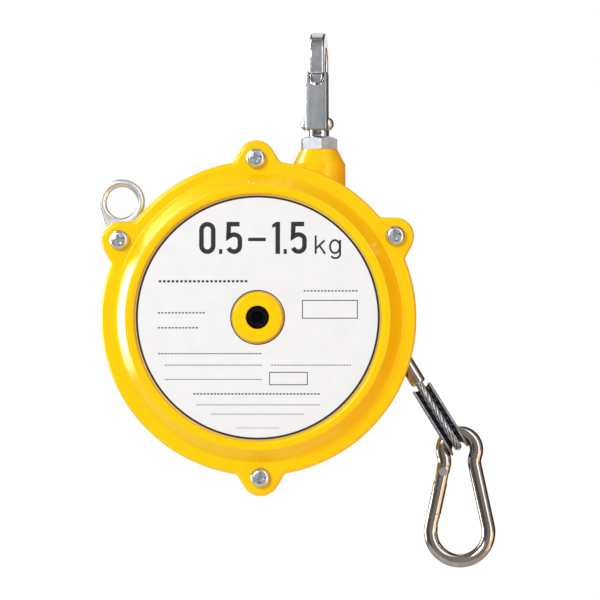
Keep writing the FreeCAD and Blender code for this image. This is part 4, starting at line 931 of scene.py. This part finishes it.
room = {
    # ambient light on matt surfaces, cooler from the left and warmer from the right
    "ambient": 0.62, "warmSide": (1.0, 0.56, 0.2, 1), "coolSide": (0.96, 1.0, 1.03, 1),
    # what metal and gloss mirror, by azimuth from the viewer: grey room in front, white behind, dark flags beside
    "soft": ((-180, 1, 1, 1), (-170, 1, 1, 1), (-163, .3, .3, .32), (-140, .1, .1, .11), (-124, .08, .08, .09),
             (-112, .3, .3, .3), (-92, .6, .6, .6), (-76, .5, .5, .5), (-62, .12, .11, .1), (-36, .16, .16, .17),
             (-15, .42, .42, .43), (0, .46, .46, .47), (14, .42, .42, .43), (23, .16, .16, .16), (30, 1, 1, 1),
             (52, 1, 1, 1), (60, .6, .6, .6), (84, .5, .48, .45), (98, .1, .07, .04), (130, .06, .05, .05),
             (160, .12, .12, .13), (170, 1, 1, 1), (180, 1, 1, 1)),
    # tall window on the left and a faint one on the right
    "window": ((-180, 0, 0, 0), (-117, 0, 0, 0), (-112, 1, 1, 1), (-103, 1, 1, 1), (-98, 0, 0, 0), (28, 0, 0, 0),
               (33, .09, .09, .09), (50, .09, .09, .09), (56, 0, 0, 0), (180, 0, 0, 0)),
    "windowPower": 23.0, "windowFoot": (-0.4, -0.1), "windowHead": (0.72, 0.95),
    "below": (-0.9, 0.1), "belowLevel": 0.55,
}


def colourRamp(tree, fac, stops):
    # stops are (azimuth in degrees from the viewer, red, green, blue)
    node = addNode(tree, "ShaderNodeValToRGB", {"Fac": fac})
    band = node.color_ramp
    while len(band.elements) > 1:
        band.elements.remove(band.elements[-1])
    for order, (azimuth, *colour) in enumerate(stops):
        place = (azimuth + 180) / 360
        element = band.elements[0] if order == 0 else band.elements.new(place)
        element.position, element.color = place, (*colour, 1)
    return node.outputs["Color"]


def makeWorld():
    world = bpy.data.worlds.new("studioWorld")
    bpy.context.scene.world = world
    world.use_nodes = True
    tree = world.node_tree
    tree.nodes.clear()

    def spread(value, ends, low, high, kind="LINEAR"):
        return addNode(tree, "ShaderNodeMapRange", {
            "Value": value, "From Min": ends[0], "From Max": ends[1], "To Min": low, "To Max": high},
            interpolation_type=kind).outputs["Result"]

    def choose(fac, first, second):
        return addNode(tree, "ShaderNodeMix", {0: fac, 4: first, 5: second}, data_type="VECTOR").outputs[1]

    path = addNode(tree, "ShaderNodeLightPath")
    direction = addNode(tree, "ShaderNodeTexCoord").outputs["Generated"]
    split = addNode(tree, "ShaderNodeSeparateXYZ", {"Vector": direction})
    turn = maths(tree, "ARCTAN2", split.outputs["X"], maths(tree, "MULTIPLY", split.outputs["Y"], -1.0))
    azimuth = spread(turn, (-math.pi, math.pi), 0.0, 1.0)
    height = split.outputs["Z"]
    foot = spread(height, room["windowFoot"], 0.0, room["windowPower"], "SMOOTHSTEP")
    head = spread(height, room["windowHead"], 1.0, 0.0, "SMOOTHSTEP")
    level = maths(tree, "MULTIPLY", foot, head)
    below = spread(height, room["below"], room["belowLevel"], 1.0)
    softRoom = scaled(tree, colourRamp(tree, azimuth, room["soft"]), below)
    window = scaled(tree, colourRamp(tree, azimuth, room["window"]), level)
    mirrored = addNode(tree, "ShaderNodeVectorMath", {0: softRoom, 1: window}, operation="ADD").outputs[0]
    sideways = spread(split.outputs["X"], (0.0, 0.8), 0.0, 1.0)
    lit = scaled(tree, mixColour(tree, sideways, room["coolSide"], room["warmSide"]), room["ambient"])
    # the camera, and anything seen through, meets plain white
    seen = maths(tree, "MAXIMUM", path.outputs["Is Camera Ray"], path.outputs["Is Transmission Ray"])
    shown = choose(seen, choose(path.outputs["Is Glossy Ray"], lit, mirrored), (1, 1, 1))
    background = addNode(tree, "ShaderNodeBackground", {"Color": shown})
    addNode(tree, "ShaderNodeOutputWorld", {"Surface": background.outputs[0]})


bpy.context.scene.view_settings.view_transform = "Standard"
makeCamera()
makeWorld()
makeFloor()
for name, *light in lights:
    makeLight(name, *light)
print("studio done")
